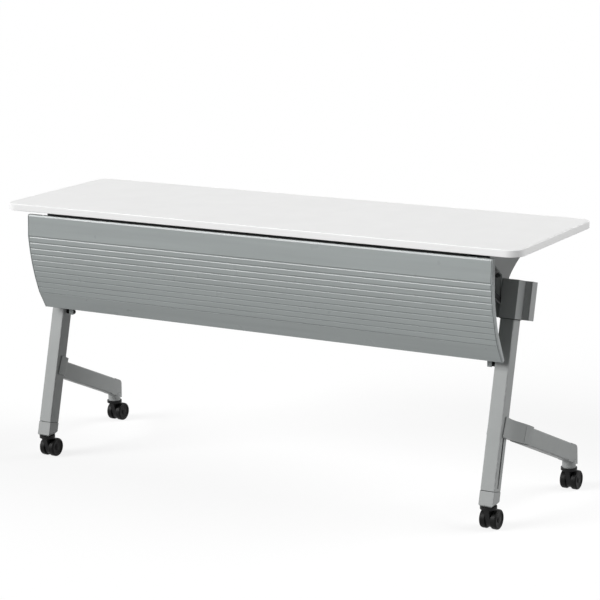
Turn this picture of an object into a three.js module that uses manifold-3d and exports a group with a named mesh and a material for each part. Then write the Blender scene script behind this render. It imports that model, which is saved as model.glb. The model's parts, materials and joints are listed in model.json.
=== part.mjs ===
// Flip top training table with a modesty panel that folds with the top, on four twin wheel casters.
// Millimetres, +Z up. X runs along the table, -Y is the panel side, +Y the sitter's side.
// The origin is on the floor under the middle of the table top.
import * as THREE from 'three';
import { mergeVertices } from 'three/addons/utils/BufferGeometryUtils.js';
import Module from 'manifold-3d';

const wasm = await Module();
wasm.setup();

const { degToRad } = THREE.MathUtils;

// Clearances
const GAP = 0.3; // between pieces that seat on each other, and round a pin
const SIDE_GAP = 1; // beside a plate that swings past its neighbour
const OPEN_PIVOT = 2.7; // radial room at the end of the steering links that stays open

// Table top
const TOP_LENGTH = 1500;
const TOP_DEPTH = 450;
const TOP_HEIGHT = 700;
const TOP_THICK = 18;
const TOP_CORNER_R = 36;
const BAND_THICK = 2;

// Legs, square tube leaning back from the front casters
const LEAN = degToRad(15);
const LEG_START_Z = 60; // where a leg's middle line crosses its caster's axis
const LEG_INSET = 88; // from the end of the top to the middle of a leg
const LEG_SIDE = 38;
const LEG_WALL = 1.8;
const LEG_SLOT_WIDTH = 6.5;
const LEG_SLOT_AHEAD = 1; // ahead of the leg's middle
const LEG_SLOT_LOW = 7; // above the foot cap
const FRONT_CASTER_Y = -195;
const FOOT_LENGTH = 38; // foot cap below the leg tube, along the leg
const FOOT_CHAMFER = 6;
const FOOT_SEAM = 1.4; // shadow gap between the cap and the tube
const SPIGOT_LENGTH = 28; // plug that holds a cap or an arm inside a tube
const SPIGOT_ROOM = 0.3;

// Leg heads and the beam that joins them
const HEAD_WALL = 2;
const HEAD_BELOW = 62; // along the leg, below the flip pivot
const HEAD_ABOVE = 33; // along the leg, above the flip pivot
const BEAM_DEPTH = 30;
const BEAM_WALL = 2;
const BEAM_OVERHANG = 20.5; // past the outside of a leg
const BEAM_CAP_THICK = 2;
const BOLT_R = 4;
const BOLT_HEAD_R = 8;
const BOLT_HEAD_THICK = 5.5;
const BOLT_INSET = 20; // from the edges of the beam

// Rear arms, spread so that the next table can nest between them
const ARM_DROP = degToRad(23.6);
const ARM_JOINT_Z = 244; // where the arm's middle line meets the leg's
const ARM_HEIGHT = 46;
const ARM_WIDTH = 30;
const ARM_WALL = 2;
const ARM_SPREAD = 46; // rear caster outboard of the leg
const REAR_CASTER_Y = 185.5;
const SOCKET_PLATE = 3; // cheeks beside the leg
const SOCKET_FRONT = 8.5; // cheeks reach this far ahead of the leg's middle
const SOCKET_END = 105; // outboard side, along the arm from the leg's middle
const SOCKET_SLANT = 62; // inboard side ends this much nearer the leg
const SOCKET_HEEL = 7; // web behind the leg
const SOCKET_SPREAD = 32; // socket end outboard of the leg
const SOCKET_RISE = 6; // socket stands proud of the arm's top at the leg
const SOCKET_TUCK = 2; // and ends short of its underside
const SOCKET_CORNER_R = 3;
const SOCKET_LIP = 2; // socket stands proud of the arm's sides
const REAR_FOOT_BODY = 27; // ahead of the caster's axis
const REAR_FOOT_R = 17.5;
const REAR_FOOT_STUB = 20;
const REAR_FOOT_CORNER = 11;

// Casters
const CASTER_HEIGHT = 62; // floor to the face that the caster seats on
const CASTER_TRAIL = 16;
const WHEEL_R = 25;
const WHEEL_WIDTH = 16;
const WHEEL_EDGE = 3;
const WHEEL_DISH = 2.5;
const WEB_WIDTH = 13;
const WEB_R = 21;
const COLLAR_R = 21;
const COLLAR_LOW_R = 15;
const COLLAR_RIM = 7; // upright edge of the collar
const COLLAR_THICK = 9.7;
const STEM_R = 5;
const STEM_LENGTH = 28; // above the seat, inside the foot
const AXLE_R = 3;

// Flip pivot, its block and the brackets under the top
const PIVOT_DROP = 122; // below the underside of the top
const PIVOT_PIN_R = 5;
const PIN_HEAD_R = 8;
const PIN_HEAD_THICK = 3;
const BLOCK_WIDTH = 15;
const BLOCK_R = 16; // round the pivot pin
const BRACKET_PLATE = 5;
const BRACKET_EYE_R = 13;
const BRACKET_BACK = 200; // behind the pivot
const BRACKET_TOP_PLATE = 4;
const BRACKET_FLANGE = 14; // top plate inboard of the cheeks
const BRACKET_WAIST_Z = 46; // above the pivot, where the cheeks start to flare
const BRACKET_WAIST_FRONT = 16;
const BRACKET_WAIST_BACK = 25;
const BRACKET_NOSE = 24; // depth of the cheeks where they meet the rail
const BRACKET_TAIL = 9; // depth of the cheeks at their back end

// Lock: a bolt in each bracket drops into the block, and one shaft lifts both bolts
const LOCK_R = 44; // top of the block, from the pivot
const LOCK_BOLT_R = 4;
const LOCK_TRAVEL = 5;
const LOCK_COLLAR_R = 7.2;
const LOCK_COLLAR_THICK = 4;
const LOCK_GUIDE_DEPTH = 24; // front to back
const LOCK_GUIDE_HEIGHT = 14;
const LOCK_GUIDE_ABOVE = 12; // lower guide above the top of the block
const SHAFT_R = 5;
const SHAFT_AHEAD = 36; // release shaft ahead of the lock bolts
const SHAFT_ABOVE = 82; // release shaft above the flip pivot
const FORK_WIDTH = 2;
const FORK_HEIGHT = 5;
const FORK_PAST = 5; // past the lock bolt
const HUB_R = 9;
const SPRING_WIRE_R = 0.7;
const SPRING_R = 6;
const SPRING_TURNS = 4;
const PADDLE_WIDTH = 70;
const PADDLE_LENGTH = 140; // behind the shaft
const PADDLE_THICK = 4;
const PADDLE_RISE = 12;
const PADDLE_INBOARD = 16; // from the bracket's flange

// Modesty panel
const PANEL_TOP_GAP = 9; // below the underside of the top
const PANEL_SETBACK = 9; // behind the front edge of the top
const PANEL_INSET = 70; // from the end of the top
const PANEL_SKIN = 3;
const PANEL_EDGE_R = 4; // chamfer along the upper front edge
const PANEL_DEPTH = 13; // over the upper return
const PANEL_TAIL_DEPTH = 9; // over the lower return
const PANEL_RETURN = 2.5; // thickness of the returns
const PANEL_BAND = 57.5; // plain upper band, downwards
const PANEL_BULGE = 3; // forward over that band
const PANEL_BOW_R = 540;
const PANEL_BOW_START = degToRad(4.5);
const PANEL_BOW_END = degToRad(22);
const PANEL_TAIL = 53; // plain lower band, along the slope
const PANEL_TAIL_SLOPE = degToRad(29.5);
const GROOVES = 11;
const GROOVE_WIDTH = 3.2;
const GROOVE_DEPTH = 1.5;
const PANEL_CAP_THICK = 3;

// Panel hinges, the rail that carries them, the steering links and the rest pegs
const HINGE_DROP = 42; // below the underside of the top
const HINGE_BEHIND = 9; // behind the panel's top edge
const HINGE_INSET = 195; // from the end of the top
const HINGE_PIN_R = 3;
const HINGE_EYE_R = 6;
const HINGE_ARM_WIDTH = 20;
const HINGE_NECK = 8;
const HINGE_NECK_LENGTH = 46;
const HINGE_NECK_ANGLE = degToRad(-70);
const HINGE_EAR = 4;
const HINGE_EAR_R = 7;
const RAIL_SWING_ROOM = 4; // between the rail and the panel's swinging top edge
const RAIL_DEPTH = 25;
const RAIL_HEIGHT = 38;
const RAIL_WALL = 2;
const RAIL_INSET = 100; // from the end of the top
const STRIP_DEPTH = 8; // black strip in the gap above the panel
const STRIP_SETBACK = 10; // behind the front edge of the top
const LUG_BELOW = 22; // link pin below the panel hinge
const LUG_BEHIND = 4;
const LUG_R = 8;
const LUG_THICK = 4;
const LINK_FOOT_BELOW = 28; // along the leg, below the flip pivot
const LINK_FOOT_BACK = 6; // behind the leg's middle
const LINK_EYE_R = 8.6;
const LINK_WIDTH = 13;
const LINK_PIN_R = 3;
const STUD_R = 4;
const STUD_HEAD_R = 6.5;
const STUD_HEAD_THICK = 2.5;
const PEG_BELOW = 19; // below the lower edge of the panel
const PEG_LENGTH = 24;
const PEG_R = 6;
const TAB_WIDTH = 12;

// Places that follow from the sizes above
const underside = TOP_HEIGHT - TOP_THICK;
const seat = underside - GAP; // upper face of what is screwed under the top
const topEnd = TOP_LENGTH / 2;
const legX = topEnd - LEG_INSET;
const legHalf = LEG_SIDE / 2;
const headHalf = legHalf + GAP + HEAD_WALL;
const pivotZ = underside - PIVOT_DROP;
const pivotS = (pivotZ - LEG_START_Z) / Math.cos(LEAN);
const pivotY = FRONT_CASTER_Y + pivotS * Math.sin(LEAN);
const headLow = pivotS - HEAD_BELOW;
const headHigh = pivotS + HEAD_ABOVE;
const beamFront = legHalf + GAP;
const beamBack = beamFront + BEAM_DEPTH;
const beamEnd = legX + legHalf + BEAM_OVERHANG - BEAM_CAP_THICK - GAP;
const cheekOut = legX - headHalf - SIDE_GAP;
const cheekOutIn = cheekOut - BRACKET_PLATE;
const blockOut = cheekOutIn - SIDE_GAP;
const blockIn = blockOut - BLOCK_WIDTH;
const blockMid = (blockIn + blockOut) / 2;
const cheekInOut = blockIn - SIDE_GAP;
const cheekIn = cheekInOut - BRACKET_PLATE;
const flangeIn = cheekIn - BRACKET_FLANGE;
const panelFront = PANEL_SETBACK - TOP_DEPTH / 2;
const panelTop = underside - PANEL_TOP_GAP;
const panelEnd = topEnd - PANEL_INSET - PANEL_CAP_THICK - GAP;
const hingeY = panelFront + HINGE_BEHIND;
const hingeZ = underside - HINGE_DROP;
const hingeX = topEnd - HINGE_INSET;
const hingeReach = Math.max(HINGE_BEHIND, PANEL_DEPTH - HINGE_BEHIND);
const panelSwing = Math.hypot(hingeReach, panelTop - hingeZ); // reach of the panel's top edge
const railFront = hingeY + panelSwing + RAIL_SWING_ROOM;
const railBack = railFront + RAIL_DEPTH;
const railMid = (railFront + railBack) / 2;
const railLow = seat - RAIL_HEIGHT;
const bracketFront = railBack + GAP;
const lugY = hingeY + LUG_BEHIND;
const lugZ = hingeZ - LUG_BELOW;
const shaftY = pivotY - SHAFT_AHEAD;
const shaftZ = pivotZ + SHAFT_ABOVE;
const collarLow = shaftZ + FORK_HEIGHT / 2 + SIDE_GAP; // leaves the fork room to tilt
const collarHigh = collarLow + LOCK_COLLAR_THICK;
const guideHigh = seat - LOCK_GUIDE_HEIGHT;
const guideLow = pivotZ + LOCK_R + LOCK_GUIDE_ABOVE;
const armY = FRONT_CASTER_Y + (ARM_JOINT_Z - LEG_START_Z) * Math.tan(LEAN);
const armReach = (REAR_CASTER_Y - armY) / Math.cos(ARM_DROP);
const splay = Math.atan2(ARM_SPREAD - SOCKET_SPREAD, armReach - SOCKET_END);
const tubeReach = Math.hypot(ARM_SPREAD - SOCKET_SPREAD, armReach - SOCKET_END);
const bowFall = PANEL_BOW_R * (Math.sin(PANEL_BOW_END) - Math.sin(PANEL_BOW_START));
const pegZ = panelTop - PANEL_BAND - bowFall - PANEL_TAIL * Math.cos(PANEL_TAIL_SLOPE) - PEG_BELOW;
const pegS = (pegZ - LEG_START_Z) / Math.cos(LEAN);
const pegY = FRONT_CASTER_Y + pegS * Math.sin(LEAN);

// Frames: along a leg from the caster's seat, along an arm from the leg, along an arm's tube from its socket
const legFrame = new THREE.Matrix4().makeTranslation(0, FRONT_CASTER_Y, LEG_START_Z)
  .multiply(new THREE.Matrix4().makeRotationX(-LEAN));
const armFrame = new THREE.Matrix4().makeTranslation(legX, armY, ARM_JOINT_Z)
  .multiply(new THREE.Matrix4().makeRotationX(-ARM_DROP));
const tubeFrame = armFrame.clone()
  .multiply(new THREE.Matrix4().makeTranslation(SOCKET_SPREAD, SOCKET_END, 0))
  .multiply(new THREE.Matrix4().makeRotationZ(-splay));

// Finishes
const silver = { color: 0x979d9c, roughness: 0.45, metalness: 0.5 };
const darkSteel = { color: 0x2a2b2d, roughness: 0.5, metalness: 0.4 };
const zinc = { color: 0xb9bcbd, roughness: 0.35, metalness: 0.9 };
const whiteBoard = { color: 0xe9e9e9, roughness: 0.5, metalness: 0 };
const greyPlastic = { color: 0x9aa09f, roughness: 0.55, metalness: 0 };
const blackPlastic = { color: 0x1d1d1e, roughness: 0.5, metalness: 0 };
const rubber = { color: 0x232323, roughness: 0.85, metalness: 0 };

const table = new THREE.Group();

function add(name, geometry, finish) {
  const mesh = new THREE.Mesh(geometry, new THREE.MeshStandardMaterial(finish));
  mesh.name = name;
  table.add(mesh);
}

// Positions only, with shared corners
function bare(geometry) {
  const copy = geometry.clone();
  copy.deleteAttribute('normal');
  copy.deleteAttribute('uv');
  return mergeVertices(copy);
}

function toSolid(geometry) {
  const merged = bare(geometry);
  return new wasm.Manifold(new wasm.Mesh({
    numProp: 3,
    vertProperties: new Float32Array(merged.attributes.position.array),
    triVerts: new Uint32Array(merged.index.array),
  }));
}

function toGeometry(solid) {
  const mesh = solid.getMesh();
  const geometry = new THREE.BufferGeometry();
  geometry.setAttribute('position', new THREE.BufferAttribute(new Float32Array(mesh.vertProperties), 3));
  geometry.setIndex(new THREE.BufferAttribute(new Uint32Array(mesh.triVerts), 1));
  return geometry;
}

function join(...geometries) {
  return toGeometry(geometries.map(toSolid).reduce((a, b) => a.add(b)));
}

function cut(body, ...tools) {
  return toGeometry(tools.map(toSolid).reduce((a, b) => a.subtract(b), toSolid(body)));
}

function common(a, b) {
  return toGeometry(toSolid(a).intersect(toSolid(b)));
}

// The same piece for the other end of the table
function mirrored(geometry) {
  const copy = bare(geometry).scale(-1, 1, 1);
  const index = Array.from(copy.index.array);
  for (let i = 0; i < index.length; i += 3) {
    [index[i], index[i + 1]] = [index[i + 1], index[i]];
  }
  return copy.setIndex(index);
}

function addPair(name, geometry, finish) {
  add(`${name}_right`, geometry, finish);
  add(`${name}_left`, mirrored(geometry), finish);
}

function box(x0, x1, y0, y1, z0, z1) {
  const geometry = new THREE.BoxGeometry(x1 - x0, y1 - y0, z1 - z0);
  return geometry.translate((x0 + x1) / 2, (y0 + y1) / 2, (z0 + z1) / 2);
}

// Round bars along X and along Z
function barX(r, x0, x1, y, z, sides = 20) {
  const geometry = new THREE.CylinderGeometry(r, r, x1 - x0, sides).rotateZ(Math.PI / 2);
  return geometry.translate((x0 + x1) / 2, y, z);
}

function barZ(r, z0, z1, x, y, sides = 20) {
  const geometry = new THREE.CylinderGeometry(r, r, z1 - z0, sides).rotateX(Math.PI / 2);
  return geometry.translate(x, y, (z0 + z1) / 2);
}

function outline(points) {
  return new THREE.Shape(points.map(([a, b]) => new THREE.Vector2(a, b)));
}

// A YZ outline drawn out along X
function prismX(shape, x0, x1, curveSegments = 8) {
  const geometry = new THREE.ExtrudeGeometry(shape, { depth: x1 - x0, bevelEnabled: false, curveSegments });
  const turn = new THREE.Matrix4().makeBasis(
    new THREE.Vector3(0, 1, 0),
    new THREE.Vector3(0, 0, 1),
    new THREE.Vector3(1, 0, 0),
  );
  return geometry.applyMatrix4(turn).translate(x0, 0, 0);
}

// An XY outline drawn out along Z
function prismZ(shape, z0, z1, curveSegments = 8) {
  const geometry = new THREE.ExtrudeGeometry(shape, { depth: z1 - z0, bevelEnabled: false, curveSegments });
  return geometry.translate(0, 0, z0);
}

function rectangle(a0, a1, b0, b1) {
  return outline([[a0, b0], [a1, b0], [a1, b1], [a0, b1]]);
}

// Section of a rectangular tube
function tubeSection(a0, a1, b0, b1, wall) {
  const shape = rectangle(a0, a1, b0, b1);
  shape.holes.push(rectangle(a0 + wall, a1 - wall, b0 + wall, b1 - wall));
  return shape;
}

function roundedRectangle(halfX, halfY, r) {
  const shape = new THREE.Shape();
  shape.absarc(halfX - r, halfY - r, r, 0, Math.PI / 2);
  shape.absarc(r - halfX, halfY - r, r, Math.PI / 2, Math.PI);
  shape.absarc(r - halfX, r - halfY, r, Math.PI, Math.PI * 1.5);
  shape.absarc(halfX - r, r - halfY, r, Math.PI * 1.5, Math.PI * 2);
  return shape;
}

// Outline of a bent strip that follows a line of points, with mitred bends
function strip(points, thickness) {
  const line = points.map(([a, b]) => new THREE.Vector2(a, b));
  const left = [];
  const right = [];
  line.forEach((point, i) => {
    const before = i > 0 ? point.clone().sub(line[i - 1]).normalize() : null;
    const after = i < line.length - 1 ? line[i + 1].clone().sub(point).normalize() : null;
    const along = (before ?? after).clone().add(after ?? before).normalize();
    const side = new THREE.Vector2(-along.y, along.x);
    const edge = before ?? after;
    const reach = thickness / 2 / side.dot(new THREE.Vector2(-edge.y, edge.x));
    left.push(point.clone().addScaledVector(side, reach));
    right.unshift(point.clone().addScaledVector(side, -reach));
  });
  return new THREE.Shape([...left, ...right]);
}

// A point given along the leg and behind its middle, as Y and Z
function onLeg(behind, along) {
  const point = new THREE.Vector3(0, behind, along).applyMatrix4(legFrame);
  return [point.y, point.z];
}

// Legs
const legSection = tubeSection(-legHalf, legHalf, -legHalf, legHalf, LEG_WALL);
const boltPlaces = [headLow + BOLT_INSET, headHigh - BOLT_INSET];
const boltTip = legHalf - LEG_WALL - 2 * BOLT_R;

function boltBar(r, from, to, along) {
  const geometry = new THREE.CylinderGeometry(r, r, to - from, 12);
  return geometry.translate(0, (from + to) / 2, along);
}

const boltHoles = boltPlaces.map((along) => boltBar(BOLT_R + GAP, boltTip - GAP, beamBack + 1, along));
const slotHigh = (ARM_JOINT_Z - LEG_START_Z) / Math.cos(LEAN) - ARM_HEIGHT / 2;
const legSlot = box(
  legHalf - LEG_WALL - 1,
  legHalf + 1,
  -LEG_SLOT_AHEAD - LEG_SLOT_WIDTH / 2,
  -LEG_SLOT_AHEAD + LEG_SLOT_WIDTH / 2,
  FOOT_LENGTH + LEG_SLOT_LOW,
  slotHigh,
);
const legTube = prismZ(legSection, FOOT_LENGTH, headHigh - HEAD_WALL - GAP);
const toLeg = legFrame.clone().premultiply(new THREE.Matrix4().makeTranslation(legX, 0, 0));
addPair('leg_tube', cut(legTube, legSlot, ...boltHoles).applyMatrix4(toLeg), silver);

// Foot caps, cut level above the casters, with a bore for the caster's stem
const footHalf = legHalf - LEG_WALL - SPIGOT_ROOM;
const footBody = join(
  box(-legHalf, legHalf, -legHalf, legHalf, -LEG_SIDE, FOOT_LENGTH - FOOT_SEAM),
  box(-footHalf, footHalf, -footHalf, footHalf, 0, FOOT_LENGTH + SPIGOT_LENGTH),
).applyMatrix4(toLeg);
const footRoom = 2 * LEG_SIDE;
const belowSeat = box(
  legX - footRoom,
  legX + footRoom,
  FRONT_CASTER_Y - footRoom,
  FRONT_CASTER_Y + footRoom,
  CASTER_HEIGHT - footRoom,
  CASTER_HEIGHT,
);

// Wedge that takes off a lower edge of a foot, the edge lying along X
function edgeWedge(y, outwards) {
  return prismX(outline([
    [y - outwards * FOOT_CHAMFER, CASTER_HEIGHT - 1],
    [y + outwards * FOOT_CHAMFER, CASTER_HEIGHT - 1],
    [y + outwards * FOOT_CHAMFER, CASTER_HEIGHT + 2 * FOOT_CHAMFER],
    [y, CASTER_HEIGHT + FOOT_CHAMFER],
  ]), -footRoom, footRoom);
}

const footFront = legHalf / Math.cos(LEAN);
const footMid = FRONT_CASTER_Y + (CASTER_HEIGHT - LEG_START_Z) * Math.tan(LEAN);
const footWedges = [
  edgeWedge(footMid - footFront, -1).translate(legX, 0, 0),
  edgeWedge(footMid + footFront, 1).translate(legX, 0, 0),
  edgeWedge(legHalf, 1).rotateZ(-Math.PI / 2).translate(legX, FRONT_CASTER_Y, 0),
  edgeWedge(-legHalf, -1).rotateZ(-Math.PI / 2).translate(legX, FRONT_CASTER_Y, 0),
];
const stemHigh = CASTER_HEIGHT + STEM_LENGTH;

function stemBore(x, y) {
  return barZ(STEM_R + GAP, CASTER_HEIGHT - 1, stemHigh + GAP, x, y, 16);
}

addPair('front_foot', cut(footBody, belowSeat, ...footWedges, stemBore(legX, FRONT_CASTER_Y)), greyPlastic);

// Head casings round the upper end of the legs, each with the stud of a steering link
const headInner = legHalf + GAP;
const headSleeve = cut(
  box(-headHalf, headHalf, -headHalf, legHalf, headLow, headHigh),
  box(-headInner, headInner, -headInner, legHalf + 1, headLow - 1, headHigh - HEAD_WALL),
);
const [studY, studZ] = onLeg(LINK_FOOT_BACK, pivotS - LINK_FOOT_BELOW);
const studEnd = cheekOutIn - GAP;
const legHead = join(
  headSleeve.applyMatrix4(toLeg),
  barX(STUD_R, studEnd - 1, legX - headHalf + HEAD_WALL / 2, studY, studZ),
  barX(STUD_HEAD_R, studEnd - STUD_HEAD_THICK, studEnd, studY, studZ),
);
addPair('leg_head', legHead, silver);

// Cross beam with its end caps and bolts
const beamTube = prismX(tubeSection(beamFront, beamBack, headLow, headHigh, BEAM_WALL), -beamEnd, beamEnd);
const beamHoles = [-legX, legX].flatMap((x) => boltHoles.map((hole) => hole.clone().translate(x, 0, 0)));
add('cross_beam', cut(beamTube, ...beamHoles).applyMatrix4(legFrame), silver);

const plugInset = BEAM_WALL + SPIGOT_ROOM;
const beamCap = join(
  box(beamEnd + GAP, beamEnd + GAP + BEAM_CAP_THICK, beamFront, beamBack, headLow, headHigh),
  box(
    beamEnd - BEAM_CAP_THICK * 3,
    beamEnd + GAP + BEAM_CAP_THICK / 2,
    beamFront + plugInset,
    beamBack - plugInset,
    headLow + plugInset,
    headHigh - plugInset,
  ),
);
addPair('beam_end_cap', beamCap.applyMatrix4(legFrame), greyPlastic);

boltPlaces.forEach((along, i) => {
  const bolt = join(
    boltBar(BOLT_R, boltTip, beamBack + GAP + 1, along),
    boltBar(BOLT_HEAD_R, beamBack + GAP, beamBack + GAP + BOLT_HEAD_THICK, along),
  );
  addPair(i === 0 ? 'frame_bolt_lower' : 'frame_bolt_upper', bolt.applyMatrix4(toLeg), zinc);
});

// Arm sockets: cheeks that clasp the leg, swept outboard to the arm's tube
const cheek = legHalf + GAP + SOCKET_PLATE;
const endAlong = new THREE.Vector2(Math.sin(splay), Math.cos(splay));
const endSide = new THREE.Vector2(Math.cos(splay), -Math.sin(splay));
const endMid = new THREE.Vector2(SOCKET_SPREAD, SOCKET_END);
const endHalf = ARM_WIDTH / 2 + SOCKET_LIP;
const endOut = endMid.clone().addScaledVector(endSide, endHalf);
const endIn = endMid.clone().addScaledVector(endSide, -endHalf).addScaledVector(endAlong, -SOCKET_SLANT);
const pullOut = endOut.clone().addScaledVector(endAlong, -SOCKET_END * 0.4);
const heel = legHalf + SOCKET_HEEL;
const socketPlan = new THREE.Shape();
socketPlan.moveTo(cheek, -SOCKET_FRONT);
socketPlan.lineTo(cheek, legHalf);
socketPlan.bezierCurveTo(cheek, SOCKET_END * 0.5, pullOut.x, pullOut.y, endOut.x, endOut.y);
socketPlan.lineTo(endIn.x, endIn.y);
socketPlan.quadraticCurveTo(endIn.x, heel, -legHalf, heel);
socketPlan.lineTo(-cheek, legHalf);
socketPlan.lineTo(-cheek, -SOCKET_FRONT);
const socketLow = SOCKET_TUCK - ARM_HEIGHT / 2;
const socketHigh = SOCKET_RISE + ARM_HEIGHT / 2;
const socketEndHigh = SOCKET_LIP + ARM_HEIGHT / 2;
const socketSide = new THREE.Shape();
socketSide.moveTo(SOCKET_END * 2, socketLow);
socketSide.lineTo(SOCKET_END * 2, socketEndHigh);
socketSide.lineTo(SOCKET_END, socketEndHigh);
socketSide.absarc(SOCKET_CORNER_R - SOCKET_FRONT, socketHigh - SOCKET_CORNER_R, SOCKET_CORNER_R, Math.PI / 2, Math.PI);
socketSide.absarc(SOCKET_CORNER_R - SOCKET_FRONT, socketLow + SOCKET_CORNER_R, SOCKET_CORNER_R, Math.PI, Math.PI * 1.5);
const socketBody = common(
  prismZ(socketPlan, socketLow - 1, socketHigh + 1, 10),
  prismX(socketSide, -topEnd, topEnd, 4),
);
const legRoom = box(-headInner, headInner, -headInner, headInner, 0, headLow).applyMatrix4(toLeg);
const armHalf = ARM_WIDTH / 2;
const armInner = armHalf - ARM_WALL - SPIGOT_ROOM;
const armInnerHigh = ARM_HEIGHT / 2 - ARM_WALL - SPIGOT_ROOM;
const socketSpigot = box(-armInner, armInner, -SOCKET_SLANT / 2, SPIGOT_LENGTH, -armInnerHigh, armInnerHigh);
const socket = cut(
  join(socketBody.applyMatrix4(armFrame), socketSpigot.applyMatrix4(tubeFrame)),
  legRoom,
);
addPair('arm_socket', socket, silver);

// Arm tubes
const armSection = tubeSection(-armHalf, armHalf, -ARM_HEIGHT / 2, ARM_HEIGHT / 2, ARM_WALL);
const tubeEnd = tubeReach - REAR_FOOT_BODY;
const armTube = new THREE.ExtrudeGeometry(armSection, { depth: tubeEnd + SOCKET_SLANT, bevelEnabled: false })
  .rotateX(Math.PI / 2)
  .translate(0, tubeEnd, 0);
const slantRoom = GAP * Math.hypot(1, SOCKET_SLANT / endHalf / 2);
const socketRoom = prismZ(outline([
  [endHalf, slantRoom],
  [-endHalf, slantRoom - SOCKET_SLANT],
  [-endHalf, -2 * SOCKET_SLANT],
  [endHalf, -2 * SOCKET_SLANT],
]), -ARM_HEIGHT, ARM_HEIGHT);
addPair('rear_arm', cut(armTube, socketRoom).applyMatrix4(tubeFrame), silver);

// Rear feet, upright at the back, with a round stub above the caster
const dropCos = Math.cos(ARM_DROP);
const dropSin = Math.sin(ARM_DROP);
const highW = ARM_HEIGHT / 2;
const highK = (highW - REAR_FOOT_R * dropSin) / dropCos;
const lowK = (-highW - REAR_FOOT_R * dropSin) / dropCos;
const highBack = tubeReach + REAR_FOOT_R * dropCos - highK * dropSin;
const lowBack = tubeReach + REAR_FOOT_R * dropCos - lowK * dropSin;
const footSide = new THREE.Shape();
footSide.moveTo(tubeEnd + GAP, -highW);
footSide.lineTo(lowBack, -highW);
footSide.lineTo(highBack + REAR_FOOT_CORNER * dropSin, highW - REAR_FOOT_CORNER * dropCos);
footSide.quadraticCurveTo(highBack, highW, highBack - REAR_FOOT_CORNER, highW);
footSide.lineTo(tubeEnd + GAP, highW);
const rearX = legX + ARM_SPREAD;
const rearFootBody = join(
  prismX(footSide, -armHalf, armHalf),
  box(-armInner, armInner, tubeEnd - SPIGOT_LENGTH, tubeEnd + 1, -armInnerHigh, armInnerHigh),
).applyMatrix4(tubeFrame);
const rearStub = barZ(REAR_FOOT_R, CASTER_HEIGHT, CASTER_HEIGHT + REAR_FOOT_STUB, rearX, REAR_CASTER_Y, 28);
const belowRearSeat = box(
  rearX - ARM_HEIGHT,
  rearX + ARM_HEIGHT,
  REAR_CASTER_Y - ARM_HEIGHT,
  REAR_CASTER_Y + ARM_HEIGHT,
  0,
  CASTER_HEIGHT,
);
const rearFoot = cut(join(rearFootBody, rearStub), belowRearSeat, stemBore(rearX, REAR_CASTER_Y));
addPair('rear_foot', rearFoot, greyPlastic);

// Casters, trailing towards the sitter
const axleY = CASTER_TRAIL;
const collarTop = CASTER_HEIGHT - GAP;
const collarBase = collarTop - COLLAR_THICK;
const webNeck = outline([
  [axleY - WEB_R, WHEEL_R],
  [axleY + WEB_R, WHEEL_R],
  [COLLAR_LOW_R - 1, collarBase + 1],
  [1 - COLLAR_LOW_R, collarBase + 1],
]);
const coneHeight = COLLAR_THICK - COLLAR_RIM;
const collarCone = new THREE.CylinderGeometry(COLLAR_R, COLLAR_LOW_R, coneHeight, 28)
  .rotateX(Math.PI / 2)
  .translate(0, 0, collarBase + coneHeight / 2);
const forkBody = join(
  barX(WEB_R, -WEB_WIDTH / 2, WEB_WIDTH / 2, axleY, WHEEL_R, 24),
  prismX(webNeck, -WEB_WIDTH / 2, WEB_WIDTH / 2),
  barZ(COLLAR_R, collarTop - COLLAR_RIM, collarTop, 0, 0, 28),
  collarCone,
  barZ(STEM_R, collarTop - 1, stemHigh, 0, 0, 16),
);
const fork = cut(forkBody, barX(AXLE_R + GAP, -WEB_WIDTH, WEB_WIDTH, axleY, WHEEL_R, 12));
const wheelSection = [
  [0, 0],
  [WHEEL_R - 1, 0],
  [WHEEL_R, 1],
  [WHEEL_R, WHEEL_WIDTH - WHEEL_EDGE],
  [WHEEL_R - WHEEL_EDGE, WHEEL_WIDTH],
  [WHEEL_R * 0.6, WHEEL_WIDTH],
  [WHEEL_R * 0.5, WHEEL_WIDTH - WHEEL_DISH],
  [0, WHEEL_WIDTH - WHEEL_DISH],
];
const wheel = new THREE.LatheGeometry(wheelSection.map(([r, h]) => new THREE.Vector2(r, h)), 28)
  .rotateZ(-Math.PI / 2)
  .translate(WEB_WIDTH / 2 + GAP, axleY, WHEEL_R);
const axle = barX(AXLE_R, -WEB_WIDTH, WEB_WIDTH, axleY, WHEEL_R, 12);
const wheels = join(wheel, mirrored(wheel), axle);
[['front', legX, FRONT_CASTER_Y], ['rear', rearX, REAR_CASTER_Y]].forEach(([row, x, y]) => {
  [['right', x], ['left', -x]].forEach(([side, sideX]) => {
    add(`caster_fork_${row}_${side}`, fork.clone().translate(sideX, y, 0), blackPlastic);
    add(`caster_wheels_${row}_${side}`, wheels.clone().translate(sideX, y, 0), rubber);
  });
});

// Pivot blocks on the beam, with a hole on top for the lock bolt
const blockOutline = new THREE.Shape();
const blockBack = legHalf;
blockOutline.moveTo(...onLeg(blockBack, pivotS - BLOCK_R));
blockOutline.lineTo(...onLeg(blockBack, headHigh - 4));
blockOutline.absarc(pivotY, pivotZ, LOCK_R, degToRad(62), degToRad(118));
blockOutline.absarc(pivotY, pivotZ, BLOCK_R, Math.PI, Math.PI * 1.5 - LEAN);
const lockHole = barZ(LOCK_BOLT_R + GAP, pivotZ + LOCK_R - LOCK_TRAVEL - GAP, pivotZ + LOCK_R + 1, blockMid, pivotY);
const pivotBlock = cut(
  prismX(blockOutline, blockIn, blockOut),
  barX(PIVOT_PIN_R + GAP, blockIn - 1, blockOut + 1, pivotY, pivotZ),
  lockHole,
);
addPair('pivot_block', pivotBlock, silver);

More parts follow.
